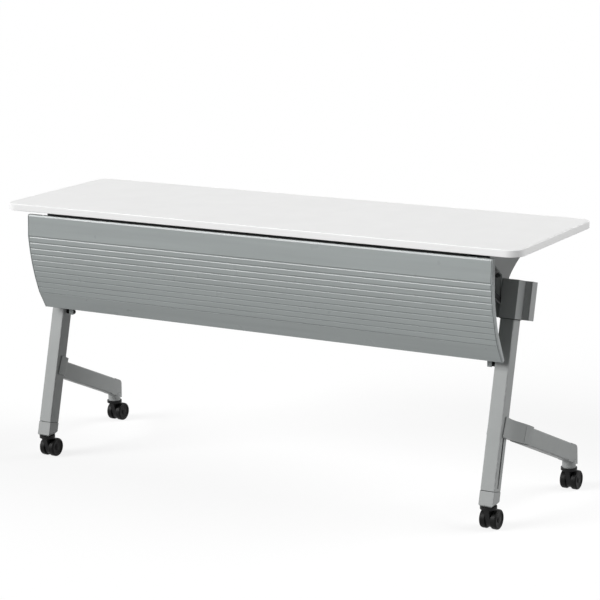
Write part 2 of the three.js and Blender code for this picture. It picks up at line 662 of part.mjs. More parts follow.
const pinOut = cheekOut + SIDE_GAP / 2;
addPair('pivot_pin', join(
  barX(PIVOT_PIN_R, cheekIn - GAP - 1, pinOut, pivotY, pivotZ),
  barX(PIN_HEAD_R, cheekIn - GAP - PIN_HEAD_THICK, cheekIn - GAP, pivotY, pivotZ),
), zinc);

// Rubber pegs on the inner sides of the legs, where the panel rests
const pegOut = legX - legHalf - GAP;
addPair('rest_peg', barX(PEG_R, pegOut - PEG_LENGTH, pegOut, pegY, pegZ), rubber);

// Brackets under the top
const cheekOutline = new THREE.Shape();
cheekOutline.absarc(pivotY, pivotZ, BRACKET_EYE_R, Math.PI, Math.PI * 2 + LEAN);
cheekOutline.lineTo(pivotY + BRACKET_WAIST_BACK, pivotZ + BRACKET_WAIST_Z * 0.7);
cheekOutline.bezierCurveTo(
  pivotY + BRACKET_WAIST_BACK * 2,
  pivotZ + BRACKET_WAIST_Z * 1.2,
  pivotY + BRACKET_BACK * 0.5,
  seat - BRACKET_TAIL * 4.5,
  pivotY + BRACKET_BACK,
  seat - BRACKET_TAIL,
);
cheekOutline.lineTo(pivotY + BRACKET_BACK, seat);
cheekOutline.lineTo(bracketFront, seat);
cheekOutline.lineTo(bracketFront, seat - BRACKET_NOSE);
cheekOutline.lineTo(pivotY - BRACKET_WAIST_FRONT, pivotZ + BRACKET_WAIST_Z);
const shaftEnd = cheekOutIn + BRACKET_PLATE / 2; // in a blind hole of the outer cheek
const guideFront = pivotY - LOCK_GUIDE_DEPTH / 2;
const guideBack = pivotY + LOCK_GUIDE_DEPTH / 2;
const bracket = cut(
  join(
    prismX(cheekOutline, cheekIn, cheekInOut),
    prismX(cheekOutline, cheekOutIn, cheekOut),
    box(flangeIn, cheekOut, bracketFront, pivotY + BRACKET_BACK, seat - BRACKET_TOP_PLATE, seat),
    box(cheekIn + 1, cheekOut - 1, guideFront, guideBack, guideHigh, seat - 1),
    box(cheekIn + 1, cheekOut - 1, guideFront, guideBack, guideLow, guideLow + LOCK_GUIDE_HEIGHT),
  ),
  barX(PIVOT_PIN_R + GAP, cheekIn - 1, cheekOut + 1, pivotY, pivotZ),
  barX(SHAFT_R + GAP, cheekIn - 1, shaftEnd + GAP, shaftY, shaftZ),
  barZ(LOCK_BOLT_R + GAP, guideLow - 1, seat - BRACKET_TOP_PLATE, blockMid, pivotY),
);
addPair('top_bracket', bracket, silver);

// Rail under the front of the top
const railEnd = topEnd - RAIL_INSET;
const railSection = outline([
  [railFront, railLow],
  [railBack, railLow],
  [railBack, railLow + RAIL_WALL],
  [railFront + RAIL_WALL, railLow + RAIL_WALL],
  [railFront + RAIL_WALL, seat - RAIL_WALL],
  [railBack, seat - RAIL_WALL],
  [railBack, seat],
  [railFront, seat],
]);
add('top_rail', prismX(railSection, -railEnd, railEnd), darkSteel);

// Strip that closes the gap above the panel and clears its swinging edge
const stripFront = STRIP_SETBACK - TOP_DEPTH / 2;
const stripLow = hingeZ + panelSwing + SIDE_GAP / 2;
add('gap_strip', box(-railEnd, railEnd, stripFront, stripFront + STRIP_DEPTH, stripLow, seat), rubber);

// Table top: board and edge band
const coreInset = BAND_THICK + GAP;
const coreShape = roundedRectangle(topEnd - coreInset, TOP_DEPTH / 2 - coreInset, TOP_CORNER_R - coreInset);
add('tabletop_core', prismZ(coreShape, underside, TOP_HEIGHT), whiteBoard);
const bandShape = roundedRectangle(topEnd, TOP_DEPTH / 2, TOP_CORNER_R);
bandShape.holes.push(
  roundedRectangle(topEnd - BAND_THICK, TOP_DEPTH / 2 - BAND_THICK, TOP_CORNER_R - BAND_THICK),
);
add('tabletop_edge', prismZ(bandShape, underside, TOP_HEIGHT), whiteBoard);

// Lock bolts with their collars, and the springs that drive them down
const boltLow = pivotZ + LOCK_R + 2 * GAP;
const boltHigh = seat - BRACKET_TOP_PLATE - 2 * GAP;
const lockBolt = join(
  barZ(LOCK_BOLT_R, boltLow, boltHigh, blockMid, pivotY),
  barZ(LOCK_COLLAR_R, collarLow, collarHigh, blockMid, pivotY),
);
addPair('lock_bolt', lockBolt, zinc);

class Coil extends THREE.Curve {
  getPoint(t) {
    const low = collarHigh + SPRING_WIRE_R + GAP;
    const high = guideHigh - SPRING_WIRE_R - GAP;
    const turn = t * SPRING_TURNS * Math.PI * 2;
    return new THREE.Vector3(SPRING_R * Math.cos(turn), SPRING_R * Math.sin(turn), low + (high - low) * t);
  }
}

const wire = new THREE.Shape().absarc(0, 0, SPRING_WIRE_R, 0, Math.PI * 2);
const spring = new THREE.ExtrudeGeometry(wire, {
  steps: SPRING_TURNS * 14,
  extrudePath: new Coil(),
  curveSegments: 3,
});
addPair('lock_spring', spring.translate(blockMid, pivotY, 0), zinc);

// Release shaft with a fork under each lock bolt's collar and a paddle for each hand
const forkIn = LOCK_BOLT_R + 2 * GAP;
const forkOut = forkIn + FORK_WIDTH;
const forkArms = [[-forkOut, -forkIn], [forkIn, forkOut]].map(([a, b]) => box(
  blockMid + a,
  blockMid + b,
  shaftY,
  pivotY + FORK_PAST,
  shaftZ - FORK_HEIGHT / 2,
  shaftZ + FORK_HEIGHT / 2,
));
const crankHub = barX(HUB_R, blockMid - forkOut, blockMid + forkOut, shaftY, shaftZ);
const crank = join(crankHub, ...forkArms);
const shaft = barX(SHAFT_R, -shaftEnd, shaftEnd, shaftY, shaftZ);
add('release_shaft', join(shaft, crank, mirrored(crank)), darkSteel);

const paddleOut = flangeIn - PADDLE_INBOARD;
const paddleLine = [
  [shaftY, shaftZ],
  [shaftY + PADDLE_LENGTH * 0.4, shaftZ],
  [shaftY + PADDLE_LENGTH, shaftZ + PADDLE_RISE],
];
const paddle = join(
  prismX(strip(paddleLine, PADDLE_THICK), paddleOut - PADDLE_WIDTH, paddleOut),
  barX(HUB_R, paddleOut - PADDLE_WIDTH, paddleOut, shaftY, shaftZ),
);
const shaftBore = barX(SHAFT_R + GAP, 0, shaftEnd, shaftY, shaftZ);
addPair('release_lever', cut(paddle, shaftBore), blackPlastic);

// Modesty panel: a plain upper band, a grooved bow and a plain tail, with returns at both edges
const bowTop = [panelFront - PANEL_BULGE, panelTop - PANEL_BAND];

function onBow(angle, inwards) {
  const r = PANEL_BOW_R - inwards;
  const midY = bowTop[0] + PANEL_BOW_R * Math.cos(PANEL_BOW_START);
  const midZ = bowTop[1] + PANEL_BOW_R * Math.sin(PANEL_BOW_START);
  return [midY - r * Math.cos(angle), midZ - r * Math.sin(angle)];
}

const bowStep = (PANEL_BOW_END - PANEL_BOW_START) / (GROOVES - 1);
const grooveHalf = GROOVE_WIDTH / 2 / PANEL_BOW_R;
const frontLine = [];
const backLine = [];
for (let i = 0; i < GROOVES; i += 1) {
  const angle = PANEL_BOW_START + i * bowStep;
  frontLine.push(onBow(angle - grooveHalf, 0), onBow(angle, GROOVE_DEPTH), onBow(angle + grooveHalf, 0));
  if (i < GROOVES - 1) {
    frontLine.push(onBow(angle + bowStep / 2, 0));
  }
  backLine.push(onBow(angle, PANEL_SKIN));
}
const slope = [Math.sin(PANEL_TAIL_SLOPE), -Math.cos(PANEL_TAIL_SLOPE)];
const inward = [Math.cos(PANEL_TAIL_SLOPE), Math.sin(PANEL_TAIL_SLOPE)];
const bowFoot = onBow(PANEL_BOW_END, 0);

// A point on the tail: along its slope from the bow, and behind its front face
function onTail(along, behind) {
  return [
    bowFoot[0] + slope[0] * along + inward[0] * behind,
    bowFoot[1] + slope[1] * along + inward[1] * behind,
  ];
}

const returnAlong = PANEL_TAIL - PANEL_RETURN;
const panelEdge = [
  [panelFront + PANEL_EDGE_R / 2, panelTop],
  [panelFront, panelTop - PANEL_EDGE_R],
];
const panelSection = outline([
  ...panelEdge,
  ...frontLine,
  onTail(PANEL_TAIL, 0),
  onTail(PANEL_TAIL, PANEL_TAIL_DEPTH),
  onTail(returnAlong, PANEL_TAIL_DEPTH),
  onTail(returnAlong, PANEL_SKIN),
  ...backLine.reverse(),
  [panelFront + PANEL_SKIN, panelTop - PANEL_EDGE_R - PANEL_RETURN],
  [panelFront + PANEL_EDGE_R / 2 + PANEL_SKIN, panelTop - PANEL_RETURN],
  [panelFront + PANEL_DEPTH, panelTop - PANEL_RETURN],
  [panelFront + PANEL_DEPTH, panelTop],
]);
const earFront = panelFront - PANEL_BULGE / 2 + PANEL_SKIN / 2;
const earIn = hingeX - HINGE_ARM_WIDTH / 2 - SIDE_GAP / 2 - HINGE_EAR;
const earOut = hingeX + HINGE_ARM_WIDTH / 2 + SIDE_GAP / 2;
const hingeEars = [earIn, earOut].map((x) => join(
  box(x, x + HINGE_EAR, earFront, hingeY, hingeZ - HINGE_EAR_R, hingeZ + HINGE_EAR_R),
  barX(HINGE_EAR_R, x, x + HINGE_EAR, hingeY, hingeZ),
));
const lugOut = cheekOutIn - 2 * SIDE_GAP;
const lugFront = panelFront - PANEL_BULGE + PANEL_SKIN / 2;
const lug = join(
  box(lugOut - LUG_THICK, lugOut, lugFront, lugY, lugZ - LUG_R, lugZ + LUG_R),
  barX(LUG_R, lugOut - LUG_THICK, lugOut, lugY, lugZ),
  barX(LINK_PIN_R, lugOut - 1, cheekOut, lugY, lugZ, 16),
);
const tabLevel = PANEL_TAIL - PANEL_RETURN / 2;
const tabY = pegY - PEG_R - GAP - PANEL_RETURN / 2;
const tabLine = [
  onTail(tabLevel, PANEL_TAIL_DEPTH / 2),
  onTail(tabLevel, PANEL_TAIL_DEPTH + PANEL_RETURN),
  [tabY, pegZ + 2 * PEG_R],
  [tabY, pegZ - PEG_R],
];
const tabIn = pegOut - PEG_LENGTH + GAP;
const tab = prismX(strip(tabLine, PANEL_RETURN), tabIn, tabIn + TAB_WIDTH);
const hingeHole = barX(HINGE_PIN_R + GAP, earIn - 1, earOut + HINGE_EAR + 1, hingeY, hingeZ, 16);
const linkNotch = box(
  cheekOutIn - SIDE_GAP,
  cheekOut + SIDE_GAP,
  lugY - LINK_WIDTH / 2 - SIDE_GAP,
  panelFront + PANEL_DEPTH + 1,
  panelTop - PANEL_RETURN - 1,
  panelTop + 1,
);
const fittings = [...hingeEars, lug, tab];
const openings = [hingeHole, linkNotch];
const panelSkin = join(prismX(panelSection, -panelEnd, panelEnd), ...fittings, ...fittings.map(mirrored));
add('modesty_panel', cut(panelSkin, ...openings, ...openings.map(mirrored)), greyPlastic);

// End caps fill the panel's section
const capBack = [8, 6, 4, 2].map((i) => onBow(
  PANEL_BOW_START + i * bowStep,
  THREE.MathUtils.lerp(PANEL_DEPTH, PANEL_TAIL_DEPTH, i / GROOVES),
));
const capSection = outline([
  ...panelEdge,
  bowTop,
  ...frontLine.filter((_, i) => i % 4 === 3),
  bowFoot,
  onTail(PANEL_TAIL, 0),
  onTail(PANEL_TAIL, PANEL_TAIL_DEPTH),
  ...capBack,
  [panelFront + PANEL_DEPTH, panelTop],
]);
addPair('panel_end_cap', prismX(capSection, panelEnd + GAP, panelEnd + GAP + PANEL_CAP_THICK), greyPlastic);

// Hinge arms that reach down and round behind the panel's upper return
const neckY = hingeY + HINGE_NECK_LENGTH * Math.cos(HINGE_NECK_ANGLE);
const neckZ = hingeZ + HINGE_NECK_LENGTH * Math.sin(HINGE_NECK_ANGLE);
const armIn = hingeX - HINGE_ARM_WIDTH / 2;
const armOut = hingeX + HINGE_ARM_WIDTH / 2;
const hingeLine = [[hingeY, hingeZ], [neckY, neckZ], [railMid, neckZ], [railMid, railLow - GAP]];
const hingeArm = cut(
  join(
    prismX(strip(hingeLine, HINGE_NECK), armIn, armOut),
    barX(HINGE_EYE_R, armIn, armOut, hingeY, hingeZ),
    box(armIn, armOut, railFront, railBack, railLow - GAP - HINGE_EAR, railLow - GAP),
  ),
  barX(HINGE_PIN_R + GAP, armIn - 1, armOut + 1, hingeY, hingeZ, 16),
);
addPair('panel_hinge_arm', hingeArm, darkSteel);
addPair('panel_hinge_pin', barX(HINGE_PIN_R, earIn - 2, earOut + HINGE_EAR + 2, hingeY, hingeZ, 16), zinc);

// Steering links between the leg heads and the panel
const linkLength = Math.hypot(studY - lugY, studZ - lugZ);
const linkAngle = Math.atan2(lugZ - studZ, lugY - studY);
const linkBar = prismX(rectangle(0, linkLength, -LINK_WIDTH / 2, LINK_WIDTH / 2), cheekOutIn, cheekOut)
  .rotateX(linkAngle)
  .translate(0, studY, studZ);
const link = cut(
  join(
    linkBar,
    barX(LINK_EYE_R, cheekOutIn, cheekOut, studY, studZ),
    barX(LINK_EYE_R, cheekOutIn, cheekOut, lugY, lugZ),
  ),
  barX(STUD_R + GAP, cheekOutIn - 1, cheekOut + 1, studY, studZ),
  barX(LINK_PIN_R + OPEN_PIVOT, cheekOutIn - 1, cheekOut + 1, lugY, lugZ),
);
addPair('panel_link', link, darkSteel);

export default table;
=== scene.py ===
import json
import math
import bmesh
import bpy
from mathutils import Matrix, Vector


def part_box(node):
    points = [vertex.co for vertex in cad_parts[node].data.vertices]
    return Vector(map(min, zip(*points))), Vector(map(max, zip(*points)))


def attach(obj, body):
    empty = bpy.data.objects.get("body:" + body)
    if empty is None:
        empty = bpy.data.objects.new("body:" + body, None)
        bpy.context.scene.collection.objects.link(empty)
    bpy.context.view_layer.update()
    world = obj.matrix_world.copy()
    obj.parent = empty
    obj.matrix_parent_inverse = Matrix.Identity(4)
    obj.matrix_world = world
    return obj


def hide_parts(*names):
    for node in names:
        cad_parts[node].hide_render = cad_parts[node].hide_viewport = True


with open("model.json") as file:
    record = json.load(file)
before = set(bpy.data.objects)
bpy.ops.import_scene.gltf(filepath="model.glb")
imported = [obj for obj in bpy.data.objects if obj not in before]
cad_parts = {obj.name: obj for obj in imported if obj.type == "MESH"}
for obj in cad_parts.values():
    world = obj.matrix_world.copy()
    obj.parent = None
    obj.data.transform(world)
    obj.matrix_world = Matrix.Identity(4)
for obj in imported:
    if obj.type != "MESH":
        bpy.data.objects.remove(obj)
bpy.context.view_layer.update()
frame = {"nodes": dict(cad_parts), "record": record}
nodes = frame["nodes"]
scene = bpy.context.scene
for plain in list(bpy.data.materials):
    bpy.data.materials.remove(plain)
SIDES = (("left", -1), ("right", 1))

# Sizes in metres, +X along the table, -Y towards the panel, +Z up
TOP_LENGTH, TOP_DEPTH, TOP_HEIGHT, TOP_THICK = 1.5, 0.45, 0.7, 0.018
TOP_CORNER = 0.036
EDGE_THICK, EDGE_ROUND = 0.004, 0.0019
BOARD_LAP, BOARD_LIFT, BOARD_SINK = 0.0002, 0.0001, 0.00005
PANEL_END = 0.676
PANEL_FRONT, PANEL_TOP = -0.216, 0.673
PANEL_BAND, PANEL_BULGE = 0.0575, 0.003
PANEL_SKIN, PANEL_RETURN = 0.003, 0.0025
PANEL_DEPTH, PANEL_TAIL_DEPTH = 0.013, 0.009
PANEL_EDGE, PANEL_EDGE_SLOPE = 0.0045, 0.0021
BOW_R, BOW_PARTS = 0.54, 40
BOW_START, BOW_END = math.radians(4.5), math.radians(22)
PANEL_TAIL, TAIL_SLOPE = 0.053, math.radians(29.5)
GROOVES, GROOVE_WIDTH, GROOVE_DEPTH = 11, 0.0022, 0.0011
STRIP_SEAT, STRIP_ROUND = 0.0007, 0.0004
STRIP_BEVEL, BEVEL_FADE = 0.0031, 0.88
HINGE, EAR_R, EAR_THICK = (-0.207, 0.64), 0.007, 0.004
EARS_IN = (0.5405, 0.5655)
LUG, LUG_R, LUG_THICK = (-0.203, 0.618), 0.008, 0.004
LINK_ROOM, LINK_GAP = 0.0075, 0.001
CHEEK_OUT, CHEEK_OUT_IN = 0.6397, 0.6347
TAB_WIDTH, TAB_GAP = 0.012, 0.0003
PEG_R = 0.006
# Painted shade: how far the black gap strip is pulled in at each end
GAP_SHADE_STRIP_TRIM = 0.041
LEG_X, LEG_Y, LEG_Z = 0.662, -0.195, 0.06
LEG_LEAN, LEG_HALF, LEG_ROUND = math.radians(15), 0.019, 0.003
FOOT_LENGTH, FOOT_SEAM = 0.038, 0.0014
# Painted shade: sizes of the black rings at the foot and head seams of the legs
FOOT_SHADE_RING_OUT, FOOT_SHADE_RING_IN = LEG_HALF - 0.0006, LEG_HALF - 0.002
HEAD_LOW, HEAD_PROUD = 0.4556, 0.0023
HEAD_SHADE_RING_OUT, HEAD_SHADE_RING_HEIGHT = LEG_HALF + HEAD_PROUD - 0.0005, 0.0015
SHADE_RING_GAP = 0.0001
WHEEL_R, WEB_HALF = 0.025, 0.0068
AXLE_R, AXLE_HALF = 0.003, 0.007
CASTERS = (("front", 0.662, -0.195), ("rear", 0.708, 0.1855))
CASTER_TRAIL = 0.016
SCREW_R, SCREW_HEIGHT = 0.0042, 0.0022
PLATE_X, PLATE_UNDER = 0.6057, 0.6777
PLATE_SCREWS_Y = (-0.125, -0.04, 0.045, 0.125)
RAIL_SCREW_STEP, RAIL_SCREWS_EACH_WAY = 0.2, 3
RAIL_SCREW_BACK, RAIL_SHEET = 0.002, 0.002

# Rounding of copied solids
SAME_POINT = 2e-6
FLAT = math.radians(0.3)
SHARP = math.radians(28)


# Meshes

def soften(mesh, limit=50):
    """Corner normals averaged by area over the faces that meet within the limit, so flats stay flat."""
    mesh.polygons.foreach_set("use_smooth", [True] * len(mesh.polygons))
    around = [[] for _ in mesh.vertices]
    for face in mesh.polygons:
        for v in face.vertices:
            around[v].append(face)
    least = math.cos(math.radians(limit))
    normals = []
    for face in mesh.polygons:
        for v in face.vertices:
            total = Vector()
            for other in around[v]:
                if other.normal.dot(face.normal) > least:
                    total += other.normal * other.area
            normals.append(total.normalized() if total.length > 0 else face.normal)
    mesh.normals_split_custom_set(normals)


def place(name, bm, body, finish, replaced=(), limit=50):
    """A finished piece from a worked mesh, with its normals set."""
    mesh = bpy.data.meshes.new(name)
    bm.to_mesh(mesh)
    bm.free()
    soften(mesh, limit)
    return settle(name, mesh, body, finish, replaced)


def settle(name, mesh, body, finish, replaced=()):
    """A piece at the origin: its finish, the body it rides on and the nodes it stands for."""
    piece = bpy.data.objects.new(name, mesh)
    scene.collection.objects.link(piece)
    mesh.materials.clear()
    mesh.materials.append(finish)
    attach(piece, body)
    if replaced:
        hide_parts(*replaced)
    return piece


def mark_wear(bm, faces):
    """Worn edges: the inner lines of a rounded edge carry 1, the flats beside it 0."""
    layer = bm.verts.layers.float.get("edge_wear") or bm.verts.layers.float.new("edge_wear")
    rounded = set(faces)
    for v in bm.verts:
        v[layer] = 1.0 if v.link_faces and all(f in rounded for f in v.link_faces) else v[layer]


def round_edges(bm, width, shortest, steps):
    """Rounds the outward edges that are long and sharp enough."""
    sharp = [
        e for e in bm.edges
        if len(e.link_faces) == 2 and e.is_convex and e.calc_length() > shortest and e.calc_face_angle(0) > SHARP
    ]
    made = bmesh.ops.bevel(
        bm, geom=sharp, offset=width, offset_type="OFFSET", segments=steps, profile=0.5,
        affect="EDGES", clamp_overlap=True,
    )
    mark_wear(bm, made["faces"])


def dressed(node, body, finish, width, shortest, steps=3):
    """A copy of a solid in its place, with a rounding on every edge longer than the shortest."""
    bm = bmesh.new()
    bm.from_mesh(nodes[node].data)
    bmesh.ops.remove_doubles(bm, verts=bm.verts, dist=SAME_POINT)
    bmesh.ops.dissolve_limit(bm, angle_limit=FLAT, verts=bm.verts, edges=bm.edges)
    round_edges(bm, width, shortest, steps)
    return place(node + "_finished", bm, body, finish, [node])


def prism(bm, outline, x0, x1):
    """A closed outline in Y and Z drawn out along X."""
    near = [bm.verts.new((x0, y, z)) for y, z in outline]
    far = [bm.verts.new((x1, y, z)) for y, z in outline]
    count = len(outline)
    sides = [bm.faces.new((near[i], near[(i + 1) % count], far[(i + 1) % count], far[i])) for i in range(count)]
    ends = [bm.faces.new(near[::-1]), bm.faces.new(far)]
    bmesh.ops.recalc_face_normals(bm, faces=sides + ends)


def doubled(bm, outline, side, x0, x1):
    """The same on the given side of the table's middle."""
    prism(bm, outline, *sorted((side * x0, side * x1)))


def rounded(outline, radius, steps=4):
    """An outline with its corners turned into arcs; radius is one value or one for each corner."""
    radii = radius if isinstance(radius, (list, tuple)) else [radius] * len(outline)
    result = []
    for i, corner in enumerate(outline):
        here = Vector(corner)
        before = Vector(outline[i - 1]) - here
        after = Vector(outline[(i + 1) % len(outline)]) - here
        bend = before.angle(after)
        if radii[i] <= 0 or bend > math.radians(175):
            result.append(tuple(here))
            continue
        reach = min(radii[i] / math.tan(bend / 2), before.length * 0.48, after.length * 0.48)
        start = here + before.normalized() * reach
        end = here + after.normalized() * reach
        for k in range(steps + 1):
            t = k / steps
            result.append(tuple(start * (1 - t) ** 2 + here * (2 * t * (1 - t)) + end * t ** 2))
    return result


def strap(points, thickness):
    """Outline of a bent strip along a line of points."""
    line = [Vector(p) for p in points]
    left, right = [], []
    for i, point in enumerate(line):
        before = (point - line[i - 1]).normalized() if i else None
        after = (line[i + 1] - point).normalized() if i < len(line) - 1 else None
        edge = before or after
        along = (edge + (after or before)).normalized()
        side = Vector((-along.y, along.x))
        reach = thickness / 2 / side.dot(Vector((-edge.y, edge.x)))
        left.append(tuple(point + side * reach))
        right.insert(0, tuple(point - side * reach))
    return left + right


def turned(bm, profile, centre, axis, steps):
    """A closed turned body: profile gives radius and place along the axis, both ends on the axis."""
    axis = Vector(axis).normalized()
    across = axis.orthogonal().normalized()
    other = axis.cross(across)
    rings = []
    for r, h in profile:
        if r < 1e-6:
            rings.append([bm.verts.new(Vector(centre) + axis * h)])
            continue
        rings.append([
            bm.verts.new(
                Vector(centre) + axis * h
                + (across * math.cos(k * math.tau / steps) + other * math.sin(k * math.tau / steps)) * r
            )
            for k in range(steps)
        ])
    faces = []
    for a, b in zip(rings, rings[1:]):
        for k in range(steps):
            n = (k + 1) % steps
            corner = [a[k % len(a)], a[n % len(a)], b[n % len(b)], b[k % len(b)]]
            faces.append(bm.faces.new(list(dict.fromkeys(corner))))
    bmesh.ops.recalc_face_normals(bm, faces=faces)


# Finishes

def put(tree, kind, values=None, **settings):
    """A node with its settings; a value is a constant or the socket that feeds it."""
    node = tree.nodes.new(kind)
    for key, value in settings.items():
        setattr(node, key, value)
    for key, value in (values or {}).items():
        if isinstance(value, bpy.types.NodeSocket):
            tree.links.new(value, node.inputs[key])
        else:
            node.inputs[key].default_value = value
    return node


class Finish:
    """A surface finish: colour, wear, roughness and grain over Object coordinates."""

    def __init__(self, name, roughness, metallic=0.0, **constants):
        self.material = bpy.data.materials.new(name)
        self.material.use_nodes = True
        self.tree = self.material.node_tree
        self.tree.nodes.clear()
        self.shader = put(self.tree, "ShaderNodeBsdfPrincipled", {"Roughness": roughness, "Metallic": metallic})
        for key, value in constants.items():
            self.shader.inputs[key.replace("_", " ")].default_value = value
        end = put(self.tree, "ShaderNodeOutputMaterial")
        self.tree.links.new(self.shader.outputs[0], end.inputs["Surface"])
        self.place = put(self.tree, "ShaderNodeTexCoord").outputs["Object"]

    def stretched(self, scale):
        return put(self.tree, "ShaderNodeMapping", {"Vector": self.place, "Scale": scale}).outputs[0]

    def noise(self, scale, detail=3.0, roughness=0.55, across=None):
        return put(self.tree, "ShaderNodeTexNoise", {
            "Vector": across or self.place, "Scale": scale, "Detail": detail, "Roughness": roughness,
        }).outputs["Fac"]

    def cells(self, scale):
        return put(self.tree, "ShaderNodeTexVoronoi", {"Vector": self.place, "Scale": scale}).outputs["Distance"]

    def span(self, value, low, high, to_low=0.0, to_high=1.0):
        return put(self.tree, "ShaderNodeMapRange", {
            "Value": value, "From Min": low, "From Max": high, "To Min": to_low, "To Max": to_high,
        }).outputs[0]

    def times(self, a, b):
        return put(self.tree, "ShaderNodeMath", {0: a, 1: b}, operation="MULTIPLY").outputs[0]

    def mark(self, name):
        return put(self.tree, "ShaderNodeAttribute", attribute_name=name).outputs["Fac"]

    def blend(self, amount, low, high):
        """Mixes two colours by an amount."""
        node = put(self.tree, "ShaderNodeMix", data_type="RGBA")
        for key, kind, value in (("Factor", "VALUE", amount), ("A", "RGBA", low), ("B", "RGBA", high)):
            socket = next(s for s in node.inputs if s.name == key and s.type == kind)
            if isinstance(value, bpy.types.NodeSocket):
                self.tree.links.new(value, socket)
            else:
                socket.default_value = value
        return next(s for s in node.outputs if s.type == "RGBA")

    def finish(self, colour, roughness, height, strength, distance):
        """Feeds the shader and gives the material."""
        links = self.tree.links
        links.new(colour, self.shader.inputs["Base Color"])
        links.new(roughness, self.shader.inputs["Roughness"])
        bump = put(self.tree, "ShaderNodeBump", {"Height": height, "Strength": strength, "Distance": distance})
        links.new(bump.outputs[0], self.shader.inputs["Normal"])
        return self.material


def tint(colour, factor):
    return tuple(c * factor for c in colour) + (1,)


WHITE = (1, 1, 1, 1)
DUST = (0.12, 0.117, 0.11, 1)
TOUCHED_WHITE = (0.7, 0.69, 0.66, 1)
ZINC_BLOOM = (0.46, 0.46, 0.44, 1)


def coated(name, colour, worn, roughness, grain, peel, **constants):
    """Sprayed coat on metal: fine flake, orange peel, slow shade changes and rubbed edges."""
    f = Finish(name, roughness, **constants)
    flake = f.noise(grain, 2)
    cloud = f.noise(5, 3)
    base = f.blend(f.span(cloud, 0.3, 0.7), tint(colour, 0.965), tint(colour, 1.03))
    speck = f.blend(f.span(flake, 0.35, 0.68), tint(colour, 0.9), tint(colour, 1.1))
    body = f.blend(0.35, base, speck)
    rubbed = f.times(f.mark("edge_wear"), f.span(f.noise(60, 4), 0.42, 0.62))
    smudge = f.span(f.noise(18, 5, 0.6), 0.5, 0.75)
    painted = f.blend(f.times(smudge, 0.06), body, tint(colour, 0.72))
    shown = f.blend(f.times(rubbed, 0.6), painted, tint(worn, 1))
    rough = f.span(f.noise(26, 4), 0.3, 0.7, roughness - 0.05, roughness + 0.07)
    return f.finish(shown, rough, f.noise(peel, 2), 0.16, 0.0006)


def moulded(name, colour, worn, roughness, grain, drawn=None, **constants):
    """Moulded plastic: spark grain, faint flow marks along the moulding, scuffed edges, and painted shade darkening the
    groove floors that carry the groove mark.
    """
    f = Finish(name, roughness, **constants)
    along = f.stretched(drawn) if drawn else None
    flow = f.noise(7, 4, 0.5, along)
    pebble = f.cells(grain)
    base = f.blend(f.span(flow, 0.3, 0.7), tint(colour, 0.95), tint(colour, 1.04))
    dusted = f.blend(f.times(f.span(f.noise(34, 5, 0.62), 0.52, 0.78), 0.04), base, tint(worn, 0.9))
    speck = f.blend(f.span(pebble, 0.0, 0.9, 0.0, 0.16), dusted, tint(colour, 0.86))
    rubbed = f.times(f.mark("edge_wear"), f.span(f.noise(80, 4), 0.4, 0.62))
    rubbed_through = f.blend(f.times(rubbed, 0.55), speck, tint(worn, 1))
    # Painted shade: the groove floors marked on the panel are darkened towards a near black, standing in for the shade
    # in the grooves.
    shown = f.blend(f.times(f.mark("groove_painted_shade"), 0.4), rubbed_through, tint(colour, 0.3))
    rough = f.span(f.noise(22, 4), 0.3, 0.7, roughness - 0.03, roughness + 0.04)
    return f.finish(shown, rough, pebble, 0.1, 0.0004)


def laminate():
    """White melamine facing: pearl grain, faint warm patches and hairline rubs along the table."""
    f = Finish("white_board", 0.42, Specular_IOR_Level=0.4)
    colour = (0.77, 0.77, 0.767)
    cloud = f.noise(3.2, 4)
    pearl = f.cells(1500)
    base = f.blend(f.span(cloud, 0.3, 0.7), tint(colour, 0.985), tint(colour, 1.012))
    speck = f.blend(f.span(pearl, 0.1, 0.9, 0.0, 0.07), base, tint(colour, 0.86))
    rubs = f.span(f.noise(9, 6, 0.7, f.stretched((0.5, 40, 1))), 0.63, 0.75)
    shown = f.blend(f.times(rubs, 0.05), speck, tint(colour, 0.8))
    rough = f.span(f.noise(14, 5), 0.3, 0.7, 0.36, 0.5)
    return f.finish(shown, rough, pearl, 0.07, 0.0003)


def edging():
    """Soft white edge band: a slightly brighter plastic, drawn along its length, dulled where hands touch."""
    f = Finish("white_edge", 0.38, Specular_IOR_Level=0.45)
    colour = (0.91, 0.91, 0.907)
    drawn = f.noise(16, 3, 0.5, f.stretched((0.4, 0.4, 55)))
    base = f.blend(f.span(drawn, 0.3, 0.7), tint(colour, 0.975), tint(colour, 1.015))
    touched = f.span(f.noise(11, 5, 0.65), 0.55, 0.8)
    shown = f.blend(f.times(touched, 0.1), base, TOUCHED_WHITE)
    rough = f.span(f.noise(30, 3), 0.3, 0.7, 0.32, 0.46)
    return f.finish(shown, rough, f.noise(900, 2), 0.06, 0.0003)


def plated():
    """Zinc plating: drawn lines along the bar and a dull bloom."""
    f = Finish("zinc_steel", 0.34, 1.0)
    colour = (0.56, 0.57, 0.58)
    drawn = f.noise(90, 3, 0.5, f.stretched((0.12, 3, 3)))
    bloom = f.span(f.noise(40, 5, 0.6), 0.45, 0.7)
    base = f.blend(f.span(drawn, 0.3, 0.7), tint(colour, 0.88), tint(colour, 1.08))
    shown = f.blend(f.times(bloom, 0.3), base, ZINC_BLOOM)
    rough = f.span(bloom, 0, 1, 0.28, 0.48)
    return f.finish(shown, rough, drawn, 0.08, 0.0003)


def tread(name, colour, roughness):
    """Rubber: matt black with grey dust that gathers in patches, and a fine pitted skin."""
    f = Finish(name, roughness, Specular_IOR_Level=0.12)
    pits = f.noise(700, 3)
    dust = f.span(f.noise(45, 5, 0.65), 0.48, 0.74)
    base = f.blend(f.span(pits, 0.3, 0.7), tint(colour, 0.8), tint(colour, 1.2))
    dusty = f.blend(f.times(dust, 0.05), base, DUST)
    shown = f.blend(f.times(f.mark("edge_wear"), 0.25), dusty, tint(colour, 2.2))
    rough = f.span(dust, 0, 1, roughness - 0.06, roughness + 0.1)
    return f.finish(shown, rough, pits, 0.15, 0.0004)


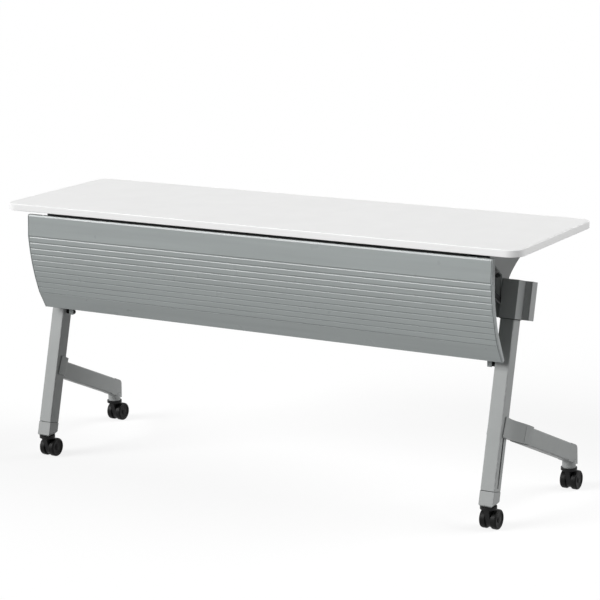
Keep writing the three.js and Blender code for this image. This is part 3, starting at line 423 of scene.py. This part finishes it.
finishes = {m.name: m for m in (
    laminate(),
    edging(),
    coated(
        "silver_paint", colour=(0.29, 0.302, 0.299), worn=(0.44, 0.45, 0.45),
        roughness=0.42, grain=2600, peel=900, Specular_IOR_Level=0.5,
    ),
    moulded("grey_plastic", colour=(0.3, 0.31, 0.308), worn=(0.42, 0.43, 0.43), roughness=0.46, grain=1500),
    moulded(
        "panel_plastic", colour=(0.335, 0.362, 0.36), worn=(0.46, 0.48, 0.48),
        roughness=0.3, grain=1800, drawn=(0.35, 1, 12), Specular_IOR_Level=0.42,
    ),
    coated(
        "dark_steel", colour=(0.02, 0.021, 0.022), worn=(0.1, 0.1, 0.1),
        roughness=0.45, grain=2200, peel=800,
    ),
    plated(),
    moulded(
        "black_plastic", colour=(0.007, 0.007, 0.0073), worn=(0.03, 0.03, 0.03),
        roughness=0.45, grain=1600, Specular_IOR_Level=0.18,
    ),
    tread("black_tread", colour=(0.006, 0.006, 0.006), roughness=0.5),
    tread("black_rubber", colour=(0.009, 0.009, 0.009), roughness=0.7),
)}
white_board, white_edge = finishes["white_board"], finishes["white_edge"]
silver, dark_steel, zinc = finishes["silver_paint"], finishes["dark_steel"], finishes["zinc_steel"]
grey_plastic, panel_plastic = finishes["grey_plastic"], finishes["panel_plastic"]
black_plastic, black_tread = finishes["black_plastic"], finishes["black_tread"]
black_rubber = finishes["black_rubber"]

for part in frame["record"]["subparts"]:
    solid = nodes[part["node"]].data
    solid.materials.clear()
    solid.materials.append(finishes[part["material_slot"]])


# Geometry nodes

def recipe(name, inputs):
    """An empty tree with named inputs; returns it with the sockets of its inputs."""
    tree = bpy.data.node_groups.new(name, "GeometryNodeTree")
    for label, kind in inputs:
        tree.interface.new_socket(label, in_out="INPUT", socket_type="NodeSocket" + kind)
    tree.interface.new_socket("Geometry", in_out="OUTPUT", socket_type="NodeSocketGeometry")
    start = tree.nodes.new("NodeGroupInput")
    return tree, {label: start.outputs[label] for label, _ in inputs}


def sum_of(tree, operation, *values):
    """A number worked out from sockets or constants."""
    return put(tree, "ShaderNodeMath", dict(enumerate(values)), operation=operation).outputs[0]


def point_of(tree, **axes):
    """A vector with the given X, Y or Z and zero for the others."""
    return put(tree, "ShaderNodeCombineXYZ", axes).outputs[0]


def close_recipe(tree, geometry, finish):
    """Ends a tree: no instances left, and one finish on all of it."""
    real = put(tree, "GeometryNodeRealizeInstances", {"Geometry": geometry})
    painted = put(tree, "GeometryNodeSetMaterial", {"Geometry": real.outputs[0], "Material": finish})
    end = put(tree, "NodeGroupOutput")
    tree.links.new(painted.outputs[0], end.inputs["Geometry"])


def grow(tree, values, points=()):
    """Runs a tree on a cloud of points and gives the plain mesh."""
    seed = bpy.data.meshes.new(tree.name)
    seed.from_pydata([tuple(p) for p in points], [], [])
    holder = bpy.data.objects.new(tree.name, seed)
    scene.collection.objects.link(holder)
    modifier = holder.modifiers.new(tree.name, "NODES")
    modifier.node_group = tree
    for item in tree.interface.items_tree:
        if item.in_out == "INPUT" and item.name in values:
            modifier[item.identifier] = values[item.name]
    bpy.context.view_layer.update()
    mesh = bpy.data.meshes.new_from_object(holder.evaluated_get(bpy.context.evaluated_depsgraph_get()))
    holder.modifiers.remove(modifier)
    bpy.data.objects.remove(holder)
    return mesh


def edge_band_recipe():
    """A rounded strip carried round a rectangle with round corners."""
    tree, take = recipe("edge_band", [
        ("Length", "Float"), ("Depth", "Float"), ("Corner", "Float"), ("Thickness", "Float"),
        ("Height", "Float"), ("Rounding", "Float"), ("Finish", "Material"),
    ])
    path = put(tree, "GeometryNodeCurvePrimitiveQuadrilateral", {"Width": take["Length"], "Height": take["Depth"]})
    turned_path = put(tree, "GeometryNodeFilletCurve", {
        "Curve": path.outputs[0], "Radius": take["Corner"], "Count": 14,
    }, mode="POLY")
    level = put(tree, "GeometryNodeSetCurveNormal", {"Curve": turned_path.outputs[0]}, mode="Z_UP")
    section = put(tree, "GeometryNodeCurvePrimitiveQuadrilateral", {
        "Width": take["Thickness"], "Height": take["Height"],
    })
    soft = put(tree, "GeometryNodeFilletCurve", {
        "Curve": section.outputs[0], "Radius": take["Rounding"], "Count": 4,
    }, mode="POLY")
    band = put(tree, "GeometryNodeCurveToMesh", {"Curve": level.outputs[0], "Profile Curve": soft.outputs[0]})
    close_recipe(tree, band.outputs[0], take["Finish"])
    return tree


def strips_recipe():
    """Flat bars one below the other round the bow's axis; each has a narrower bevel on its upper edge than the last."""
    tree, take = recipe("panel_strips", [
        ("Length", "Float"), ("Thickness", "Float"), ("Height", "Float"), ("Rounding", "Float"),
        ("First Bevel", "Float"), ("Bevel Step", "Float"), ("First Angle", "Float"), ("Angle Step", "Float"),
        ("Bow Radius", "Float"), ("Axis", "Vector"), ("Count", "Int"), ("Finish", "Material"),
    ])
    start = tree.nodes.new("GeometryNodeRepeatInput")
    end = tree.nodes.new("GeometryNodeRepeatOutput")
    start.pair_with_output(end)
    tree.links.new(take["Count"], start.inputs["Iterations"])
    number = start.outputs["Iteration"]
    bevel = sum_of(tree, "MULTIPLY_ADD", number, take["Bevel Step"], take["First Bevel"])
    angle = sum_of(tree, "MULTIPLY_ADD", number, take["Angle Step"], take["First Angle"])

    line = put(tree, "GeometryNodeCurvePrimitiveLine", {
        "Start": point_of(tree, X=sum_of(tree, "MULTIPLY", take["Length"], -0.5)),
        "End": point_of(tree, X=sum_of(tree, "MULTIPLY", take["Length"], 0.5)),
    })
    level = put(tree, "GeometryNodeSetCurveNormal", {"Curve": line.outputs[0]}, mode="Z_UP")
    # The sweep turns the section half round, so its front is at +X and its foot at +Y
    front, back = (sum_of(tree, "MULTIPLY", take["Thickness"], share) for share in (0.5, -0.5))
    foot, head = (sum_of(tree, "MULTIPLY", take["Height"], share) for share in (0.5, -0.5))
    lowered = sum_of(tree, "ADD", head, bevel)
    section = put(tree, "GeometryNodeCurvePrimitiveQuadrilateral", {
        f"Point {k + 1}": point_of(tree, X=x, Y=y)
        for k, (x, y) in enumerate(((front, foot), (back, foot), (back, head), (front, lowered)))
    }, mode="POINTS")
    soft = put(tree, "GeometryNodeFilletCurve", {
        "Curve": section.outputs[0], "Radius": take["Rounding"], "Count": 3,
    }, mode="POLY")
    bar = put(tree, "GeometryNodeCurveToMesh", {
        "Curve": level.outputs[0], "Profile Curve": soft.outputs[0], "Fill Caps": True,
    })
    set_out = put(tree, "GeometryNodeTransform", {
        "Geometry": bar.outputs[0], "Translation": point_of(tree, Y=sum_of(tree, "SUBTRACT", front, take["Bow Radius"])),
    })
    swung = put(tree, "GeometryNodeTransform", {
        "Geometry": set_out.outputs[0], "Translation": take["Axis"], "Rotation": point_of(tree, X=angle),
    })
    strips = put(tree, "GeometryNodeJoinGeometry")
    for bars in (start.outputs["Geometry"], swung.outputs[0]):
        tree.links.new(bars, strips.inputs[0])
    tree.links.new(strips.outputs[0], end.inputs["Geometry"])
    close_recipe(tree, end.outputs["Geometry"], take["Finish"])
    return tree


def screws_recipe():
    """Pan head screws with a cross, heads hanging down from the points."""
    tree, take = recipe("screws", [
        ("Points", "Geometry"), ("Head Radius", "Float"), ("Head Height", "Float"), ("Finish", "Material"),
    ])
    radius, height = take["Head Radius"], take["Head Height"]
    crown = put(tree, "GeometryNodeMeshCone", {
        "Vertices": 18, "Radius Top": sum_of(tree, "MULTIPLY", radius, 0.62), "Radius Bottom": radius, "Depth": height,
    })
    head = put(tree, "GeometryNodeMeshBoolean", {"Mesh 1": crown.outputs[0]}, operation="DIFFERENCE")
    for long, wide in ((0.95, 0.2), (0.2, 0.95)):
        size = point_of(
            tree, X=sum_of(tree, "MULTIPLY", radius, long), Y=sum_of(tree, "MULTIPLY", radius, wide), Z=height,
        )
        blade = put(tree, "GeometryNodeMeshCube", {"Size": size})
        raised = put(tree, "GeometryNodeTransform", {
            "Geometry": blade.outputs[0], "Translation": point_of(tree, Z=height),
        })
        tree.links.new(raised.outputs[0], head.inputs["Mesh 2"])
    screws = put(tree, "GeometryNodeInstanceOnPoints", {
        "Points": take["Points"], "Instance": head.outputs[0], "Rotation": (math.pi, 0, 0),
    })
    close_recipe(tree, screws.outputs[0], take["Finish"])
    return tree


# Table top

band = grow(edge_band_recipe(), {
    "Length": TOP_LENGTH - EDGE_THICK, "Depth": TOP_DEPTH - EDGE_THICK, "Corner": TOP_CORNER - EDGE_THICK / 2,
    "Thickness": EDGE_THICK, "Height": TOP_THICK, "Rounding": EDGE_ROUND, "Finish": white_edge,
})
band.transform(Matrix.Translation((0, 0, TOP_HEIGHT - TOP_THICK / 2)))
soften(band, 40)
settle("tabletop_band", band, "top", white_edge, ["tabletop_edge"])

board = bmesh.new()
half_x, half_y = TOP_LENGTH / 2 - EDGE_THICK + BOARD_LAP, TOP_DEPTH / 2 - EDGE_THICK + BOARD_LAP
corner_r = TOP_CORNER - EDGE_THICK
rim = rounded([(half_x, half_y), (-half_x, half_y), (-half_x, -half_y), (half_x, -half_y)], corner_r, 14)
lower = [board.verts.new((x, y, TOP_HEIGHT - TOP_THICK + BOARD_LIFT)) for x, y in rim]
upper = [board.verts.new((x, y, TOP_HEIGHT - BOARD_SINK)) for x, y in rim]
board.faces.new(lower[::-1])
board.faces.new(upper)
for i in range(len(rim)):
    j = (i + 1) % len(rim)
    board.faces.new((lower[i], lower[j], upper[j], upper[i]))
bmesh.ops.recalc_face_normals(board, faces=board.faces)
place("tabletop_board", board, "top", white_board, ["tabletop_core"], limit=30)


# Modesty panel

bow_top = (PANEL_FRONT - PANEL_BULGE, PANEL_TOP - PANEL_BAND)
bow_axis = (bow_top[0] + BOW_R * math.cos(BOW_START), bow_top[1] + BOW_R * math.sin(BOW_START))


def on_bow(angle, inwards):
    """A point in Y and Z on the panel's bow, or inwards of it."""
    r = BOW_R - inwards
    return (bow_axis[0] - r * math.cos(angle), bow_axis[1] - r * math.sin(angle))


def on_tail(along, behind):
    """A point in Y and Z on the flat below the bow, or behind it."""
    y, z = on_bow(BOW_END, 0)
    return (
        y + math.sin(TAIL_SLOPE) * along + math.cos(TAIL_SLOPE) * behind,
        z - math.cos(TAIL_SLOPE) * along + math.sin(TAIL_SLOPE) * behind,
    )


bow_span = BOW_END - BOW_START
bow_step = bow_span / (GROOVES - 1)
groove_half = GROOVE_WIDTH / 2 / BOW_R
floor_line = [on_bow(BOW_START + bow_span * k / BOW_PARTS, GROOVE_DEPTH) for k in range(BOW_PARTS + 1)]
back_line = [on_bow(BOW_END - bow_span * k / BOW_PARTS, PANEL_SKIN) for k in range(BOW_PARTS + 1)]
link_room = LUG[0] - LINK_ROOM
# Corners of the section, each with the radius that rounds it
corners = [
    ((PANEL_FRONT + PANEL_EDGE_SLOPE, PANEL_TOP), 0.0007),
    ((PANEL_FRONT, PANEL_TOP - PANEL_EDGE), 0.0012),
    (on_bow(BOW_START - groove_half, 0), 0.0009),
    (on_bow(BOW_START - groove_half, GROOVE_DEPTH), 0),
    *((p, 0) for p in floor_line),
    (on_bow(BOW_END + groove_half, GROOVE_DEPTH), 0),
    (on_bow(BOW_END + groove_half, 0), 0.0009),
    (on_tail(PANEL_TAIL, 0), 0.002),
    (on_tail(PANEL_TAIL, PANEL_TAIL_DEPTH), 0.001),
    (on_tail(PANEL_TAIL - PANEL_RETURN, PANEL_TAIL_DEPTH), 0.001),
    (on_tail(PANEL_TAIL - PANEL_RETURN, PANEL_SKIN), 0),
    *((p, 0) for p in back_line),
    ((PANEL_FRONT + PANEL_SKIN, PANEL_TOP - PANEL_EDGE - PANEL_RETURN), 0),
    ((PANEL_FRONT + PANEL_EDGE_SLOPE + PANEL_SKIN, PANEL_TOP - PANEL_RETURN), 0),
    ((link_room, PANEL_TOP - PANEL_RETURN), 0),
    ((link_room, PANEL_TOP), 0),
]
panel = bmesh.new()
prism(panel, rounded([c for c, _ in corners], [r for _, r in corners], 4), -PANEL_END, PANEL_END)
# Painted shade: vertices on the groove floors are marked 1, and the panel's finish darkens them to stand in for the
# shade in the grooves.
groove_shade_layer = panel.verts.layers.float.new("groove_painted_shade")
for v in panel.verts:
    depth = BOW_R - math.hypot(v.co.y - bow_axis[0], v.co.z - bow_axis[1])
    v[groove_shade_layer] = 1.0 if abs(depth - GROOVE_DEPTH) < 2e-5 else 0.0
# The lip along the upper edge leaves room for the links
link_in, link_out = CHEEK_OUT_IN - LINK_GAP, CHEEK_OUT + LINK_GAP
lip_start, lip_end = link_room - 0.0005, PANEL_FRONT + PANEL_DEPTH
lip = [
    (lip_start, PANEL_TOP - PANEL_RETURN), (lip_end, PANEL_TOP - PANEL_RETURN),
    (lip_end, PANEL_TOP), (lip_start, PANEL_TOP),
]
for x0, x1 in ((-PANEL_END, -link_out), (-link_in, link_in), (link_out, PANEL_END)):
    prism(panel, rounded(lip, [0, 0.0008, 0.0008, 0]), x0, x1)


def eye_plate(centre, r, front):
    """Outline of a plate that stands out from the panel's back, with a round end about a pin."""
    y, z = centre
    arc = [(y + r * math.sin(k * math.pi / 12), z + r * math.cos(k * math.pi / 12)) for k in range(13)]
    return [(front, z + r), *arc, (front, z - r)]


peg_low, peg_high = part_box("rest_peg_right")
REST_PEG = ((peg_low.y + peg_high.y) / 2, (peg_low.z + peg_high.z) / 2)
tab_level = PANEL_TAIL - PANEL_RETURN / 2
tab_y = REST_PEG[0] - PEG_R - TAB_GAP - PANEL_RETURN / 2
tab = strap([
    on_tail(tab_level, PANEL_TAIL_DEPTH / 2),
    on_tail(tab_level, PANEL_TAIL_DEPTH + PANEL_RETURN),
    (tab_y, REST_PEG[1] + 2 * PEG_R),
    (tab_y, REST_PEG[1] - PEG_R),
], PANEL_RETURN)
tab_in = peg_low.x + TAB_GAP
ear = eye_plate(HINGE, EAR_R, PANEL_FRONT - PANEL_BULGE / 2 + PANEL_SKIN / 2)
lug = eye_plate(LUG, LUG_R, PANEL_FRONT - PANEL_BULGE + PANEL_SKIN / 2)
lug_out = CHEEK_OUT_IN - 2 * LINK_GAP
LUG_PIN = [(0, 0), (0.003, 0), (0.003, 0.0074), (0.0026, 0.008), (0, 0.008)]
for _, sign in SIDES:
    for ear_in in EARS_IN:
        doubled(panel, ear, sign, ear_in, ear_in + EAR_THICK)
    doubled(panel, lug, sign, lug_out - LUG_THICK, lug_out)
    turned(panel, LUG_PIN, (sign * (lug_out - LINK_GAP), *LUG), (sign, 0, 0), 20)
    doubled(panel, tab, sign, tab_in, tab_in + TAB_WIDTH)

strips = grow(strips_recipe(), {
    "Length": 2 * PANEL_END, "Thickness": GROOVE_DEPTH + STRIP_SEAT, "Height": bow_step * BOW_R - GROOVE_WIDTH,
    "Rounding": STRIP_ROUND,
    "First Bevel": STRIP_BEVEL, "Bevel Step": -STRIP_BEVEL * BEVEL_FADE / (GROOVES - 2),
    "First Angle": BOW_START + bow_step / 2, "Angle Step": bow_step,
    "Bow Radius": BOW_R, "Axis": (0, *bow_axis), "Count": GROOVES - 1, "Finish": panel_plastic,
})
panel.from_mesh(strips)
bpy.data.meshes.remove(strips)
place("modesty_panel_moulding", panel, "panel", panel_plastic, ["modesty_panel"], limit=40)
for side, _ in SIDES:
    dressed(f"panel_end_cap_{side}", "panel", panel_plastic, 0.0012, 0.004)


# Pieces copied from their solids

# Node, body, finish, width of the rounding, shortest edge that is rounded, steps of the rounding
PAIRS = (
    ("leg_tube", "frame", silver, LEG_ROUND, 0.3, 4),
    ("leg_head", "frame", silver, 0.0016, 0.02, 3),
    ("front_foot", "frame", grey_plastic, 0.0018, 0.012, 3),
    ("arm_socket", "frame", silver, 0.0012, 0.0045, 3),
    ("rear_arm", "frame", silver, 0.0045, 0.15, 4),
    ("rear_foot", "frame", grey_plastic, 0.0018, 0.008, 3),
    ("beam_end_cap", "frame", grey_plastic, 0.0006, 0.02, 3),
    ("pivot_block", "frame", silver, 0.0008, 0.006, 3),
    ("top_bracket", "top", silver, 0.0007, 0.008, 3),
    ("panel_hinge_arm", "top", dark_steel, 0.0008, 0.006, 3),
    ("panel_link", "link_{}", dark_steel, 0.0005, 0.004, 3),
    ("release_lever", "release", black_plastic, 0.0012, 0.02, 3),
)
for side, _ in SIDES:
    for node, body, *rounding in PAIRS:
        dressed(f"{node}_{side}", body.format(side), *rounding)
dressed("cross_beam", "frame", silver, 0.002, 0.5, 4)
dressed("top_rail", "top", dark_steel, 0.0007, 0.5)
dressed("release_shaft", "release", dark_steel, 0.0005, 0.004)
# Painted shade: a black rubber strip fills the gap under the top's front edge, standing in for the shade in that gap;
# its ends are pulled in so it stops where that shade stops.
gap_strip = dressed("gap_strip", "top", black_rubber, 0.0008, 0.5)
for v in gap_strip.data.vertices:
    v.co.x -= math.copysign(GAP_SHADE_STRIP_TRIM, v.co.x)


# Black rings of painted shade at the legs' seams, and pegs of the legs

def on_leg(across, behind, along):
    """A point given from a leg's middle line, which leans back from the front caster."""
    y = LEG_Y + behind * math.cos(LEG_LEAN) + along * math.sin(LEG_LEAN)
    return (across, y, LEG_Z - behind * math.sin(LEG_LEAN) + along * math.cos(LEG_LEAN))


def leg_shade_ring(bm, x, outer, inner, low, high):
    """A thin square ring round a leg, between two places along it; black, it stands in for the shade in a seam."""
    loops = []
    for half, along in ((outer, low), (outer, high), (inner, high), (inner, low)):
        square = rounded([(-half, -half), (half, -half), (half, half), (-half, half)], LEG_ROUND)
        loops.append([bm.verts.new(on_leg(x + a, b, along)) for a, b in square])
    faces = []
    for a, b in zip(loops, loops[1:] + loops[:1]):
        for k in range(len(a)):
            n = (k + 1) % len(a)
            faces.append(bm.faces.new((a[k], a[n], b[n], b[k])))
    bmesh.ops.recalc_face_normals(bm, faces=faces)


# Painted shade: black rubber rings fill the gap above each front foot and sit just under each head, standing in for the
# shade lines at these seams.
shade_rings = bmesh.new()
for _, sign in SIDES:
    leg_shade_ring(
        shade_rings, sign * LEG_X, FOOT_SHADE_RING_OUT, FOOT_SHADE_RING_IN,
        FOOT_LENGTH - FOOT_SEAM + SHADE_RING_GAP, FOOT_LENGTH - SHADE_RING_GAP,
    )
    leg_shade_ring(
        shade_rings, sign * LEG_X, HEAD_SHADE_RING_OUT, LEG_HALF + SHADE_RING_GAP,
        HEAD_LOW - HEAD_SHADE_RING_HEIGHT, HEAD_LOW - SHADE_RING_GAP,
    )
place("leg_shade_rings", shade_rings, "frame", black_rubber)

# Radius of the peg and place along it, from the leg inwards
PEG = [
    (0, 0), (PEG_R, 0), (PEG_R, 0.0215), (PEG_R - 0.0007, 0.0232), (PEG_R - 0.0022, 0.024), (0, 0.024),
]
for side, sign in SIDES:
    peg = bmesh.new()
    turned(peg, PEG, (sign * peg_high.x, *REST_PEG), (-sign, 0, 0), 28)
    place(f"rest_peg_sleeve_{side}", peg, "frame", black_rubber, [f"rest_peg_{side}"])


# Casters

# Radius of a wheel and place along its axle, from the web outwards
WHEEL = [
    (0, 0.0), (0.0218, 0.0), (0.0236, 0.0003), (0.0246, 0.001), (WHEEL_R, 0.0022), (WHEEL_R, 0.0117),
    (0.0247, 0.0133), (0.0239, 0.0146), (0.0227, 0.0155), (0.0212, 0.016), (0.0198, 0.0159), (0.0189, 0.0154),
    (0.0183, 0.0144), (0.0174, 0.0138), (0.0098, 0.0134), (0.0088, 0.0138), (0.0082, 0.0148), (0.0072, 0.0155),
    (0.0045, 0.0159), (0, 0.016),
]
AXLE = [(0, -AXLE_HALF), (AXLE_R, -AXLE_HALF), (AXLE_R, AXLE_HALF), (0, AXLE_HALF)]
for row, x, y in CASTERS:
    for side, sign in SIDES:
        name = f"{row}_{side}"
        wheels = bmesh.new()
        centre = Vector((sign * x, y + CASTER_TRAIL, WHEEL_R))
        for way in (-1, 1):
            turned(wheels, WHEEL, centre + Vector((way * WEB_HALF, 0, 0)), (way, 0, 0), 56)
        turned(wheels, AXLE, centre, (1, 0, 0), 20)
        place(f"twin_wheels_{name}", wheels, f"wheels_{name}", black_tread, [f"caster_wheels_{name}"], limit=45)
        dressed(f"caster_fork_{name}", f"caster_{name}", black_plastic, 0.0007, 0.0028)


# Screws

rail_low, rail_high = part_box("top_rail")
rail_mid = (rail_low.y + rail_high.y) / 2
plate_screws = [(sign * PLATE_X, y, PLATE_UNDER) for _, sign in SIDES for y in PLATE_SCREWS_Y]
rail_screws = [
    (RAIL_SCREW_STEP * k, rail_mid + RAIL_SCREW_BACK, rail_high.z - RAIL_SHEET)
    for k in range(-RAIL_SCREWS_EACH_WAY, RAIL_SCREWS_EACH_WAY + 1)
]
screws = grow(screws_recipe(), {"Head Radius": SCREW_R, "Head Height": SCREW_HEIGHT, "Finish": zinc}, [
    (x, y, z - SCREW_HEIGHT / 2) for x, y, z in plate_screws + rail_screws
])
soften(screws, 30)
settle("top_screws", screws, "top", zinc)


# Studio

FLOOR_SIZE, FLOOR_TONE, FLOOR_WHITE = 120, 0.42, 0.82
DOME = 0.05
CAMERA_AT = (2.737, -4.591, 1.663)
YAW, PITCH, ROLL = math.radians(-30.541), math.radians(-12.643), math.radians(-0.902)
SENSOR, FOCAL_PIXELS, PICTURE_PIXELS = 36, 2104.4, 600


def white_for_camera(tree, lit, white, share):
    """The lit surface for light, and mostly plain white where the camera or a reflection looks at it."""
    rays = put(tree, "ShaderNodeLightPath").outputs
    seen = sum_of(tree, "MAXIMUM", rays["Is Camera Ray"], rays["Is Glossy Ray"])
    seen = sum_of(tree, "MAXIMUM", seen, rays["Is Transmission Ray"])
    amount = sum_of(tree, "MULTIPLY", seen, share)
    return put(tree, "ShaderNodeMixShader", {0: amount, 1: lit.outputs[0], 2: white.outputs[0]}).outputs[0]


bpy.ops.mesh.primitive_plane_add(size=FLOOR_SIZE, location=(0, 0, 0))
floor = bpy.context.object
floor.name = "floor"
paper = bpy.data.materials.new("studio_paper")
paper.use_nodes = True
sheet = paper.node_tree
sheet.nodes.clear()
looked_at = put(sheet, "ShaderNodeLightPath").outputs["Is Camera Ray"]
tone = put(sheet, "ShaderNodeMapRange", {"Value": looked_at, "To Min": FLOOR_TONE, "To Max": 1.0}).outputs[0]
matt = put(sheet, "ShaderNodeBsdfDiffuse", {"Color": tone})
glow = put(sheet, "ShaderNodeEmission", {"Color": WHITE, "Strength": 1.0})
put(sheet, "ShaderNodeOutputMaterial", {"Surface": white_for_camera(sheet, matt, glow, FLOOR_WHITE)})
floor.data.materials.append(paper)

world = bpy.data.worlds.new("studio")
scene.world = world
world.use_nodes = True
sky = world.node_tree
sky.nodes.clear()
dome = put(sky, "ShaderNodeBackground", {"Color": WHITE, "Strength": DOME})
backdrop = put(sky, "ShaderNodeBackground", {"Color": WHITE, "Strength": 1.0})
put(sky, "ShaderNodeOutputWorld", {"Surface": white_for_camera(sky, dome, backdrop, 1.0)})


def lamp(name, towards, strength, spread):
    """A wide soft sun from the given direction."""
    light = bpy.data.lights.new(name, "SUN")
    light.energy = strength
    light.angle = math.radians(spread)
    holder = bpy.data.objects.new(name, light)
    holder.rotation_euler = Vector(towards).to_track_quat("Z", "Y").to_euler()
    scene.collection.objects.link(holder)


lamp("key", towards=(-0.55, -0.68, 0.48), strength=3.05, spread=30)
lamp("fill", towards=(0.62, 0.3, 0.72), strength=2.1, spread=40)

ahead = Vector((math.sin(YAW) * math.cos(PITCH), math.cos(YAW) * math.cos(PITCH), math.sin(PITCH)))
across = Vector((math.cos(YAW), -math.sin(YAW), 0))
above = across.cross(ahead)
right = across * math.cos(ROLL) + above * math.sin(ROLL)
up = above * math.cos(ROLL) - across * math.sin(ROLL)
camera = bpy.data.objects.new("camera", bpy.data.cameras.new("camera"))
camera.data.sensor_width = SENSOR
camera.data.lens = FOCAL_PIXELS * SENSOR / PICTURE_PIXELS
camera.data.clip_end = 200
camera.matrix_world = Matrix.Translation(CAMERA_AT) @ Matrix((right, up, -ahead)).transposed().to_4x4()
scene.collection.objects.link(camera)
scene.camera = camera
scene.view_settings.view_transform = "Standard"
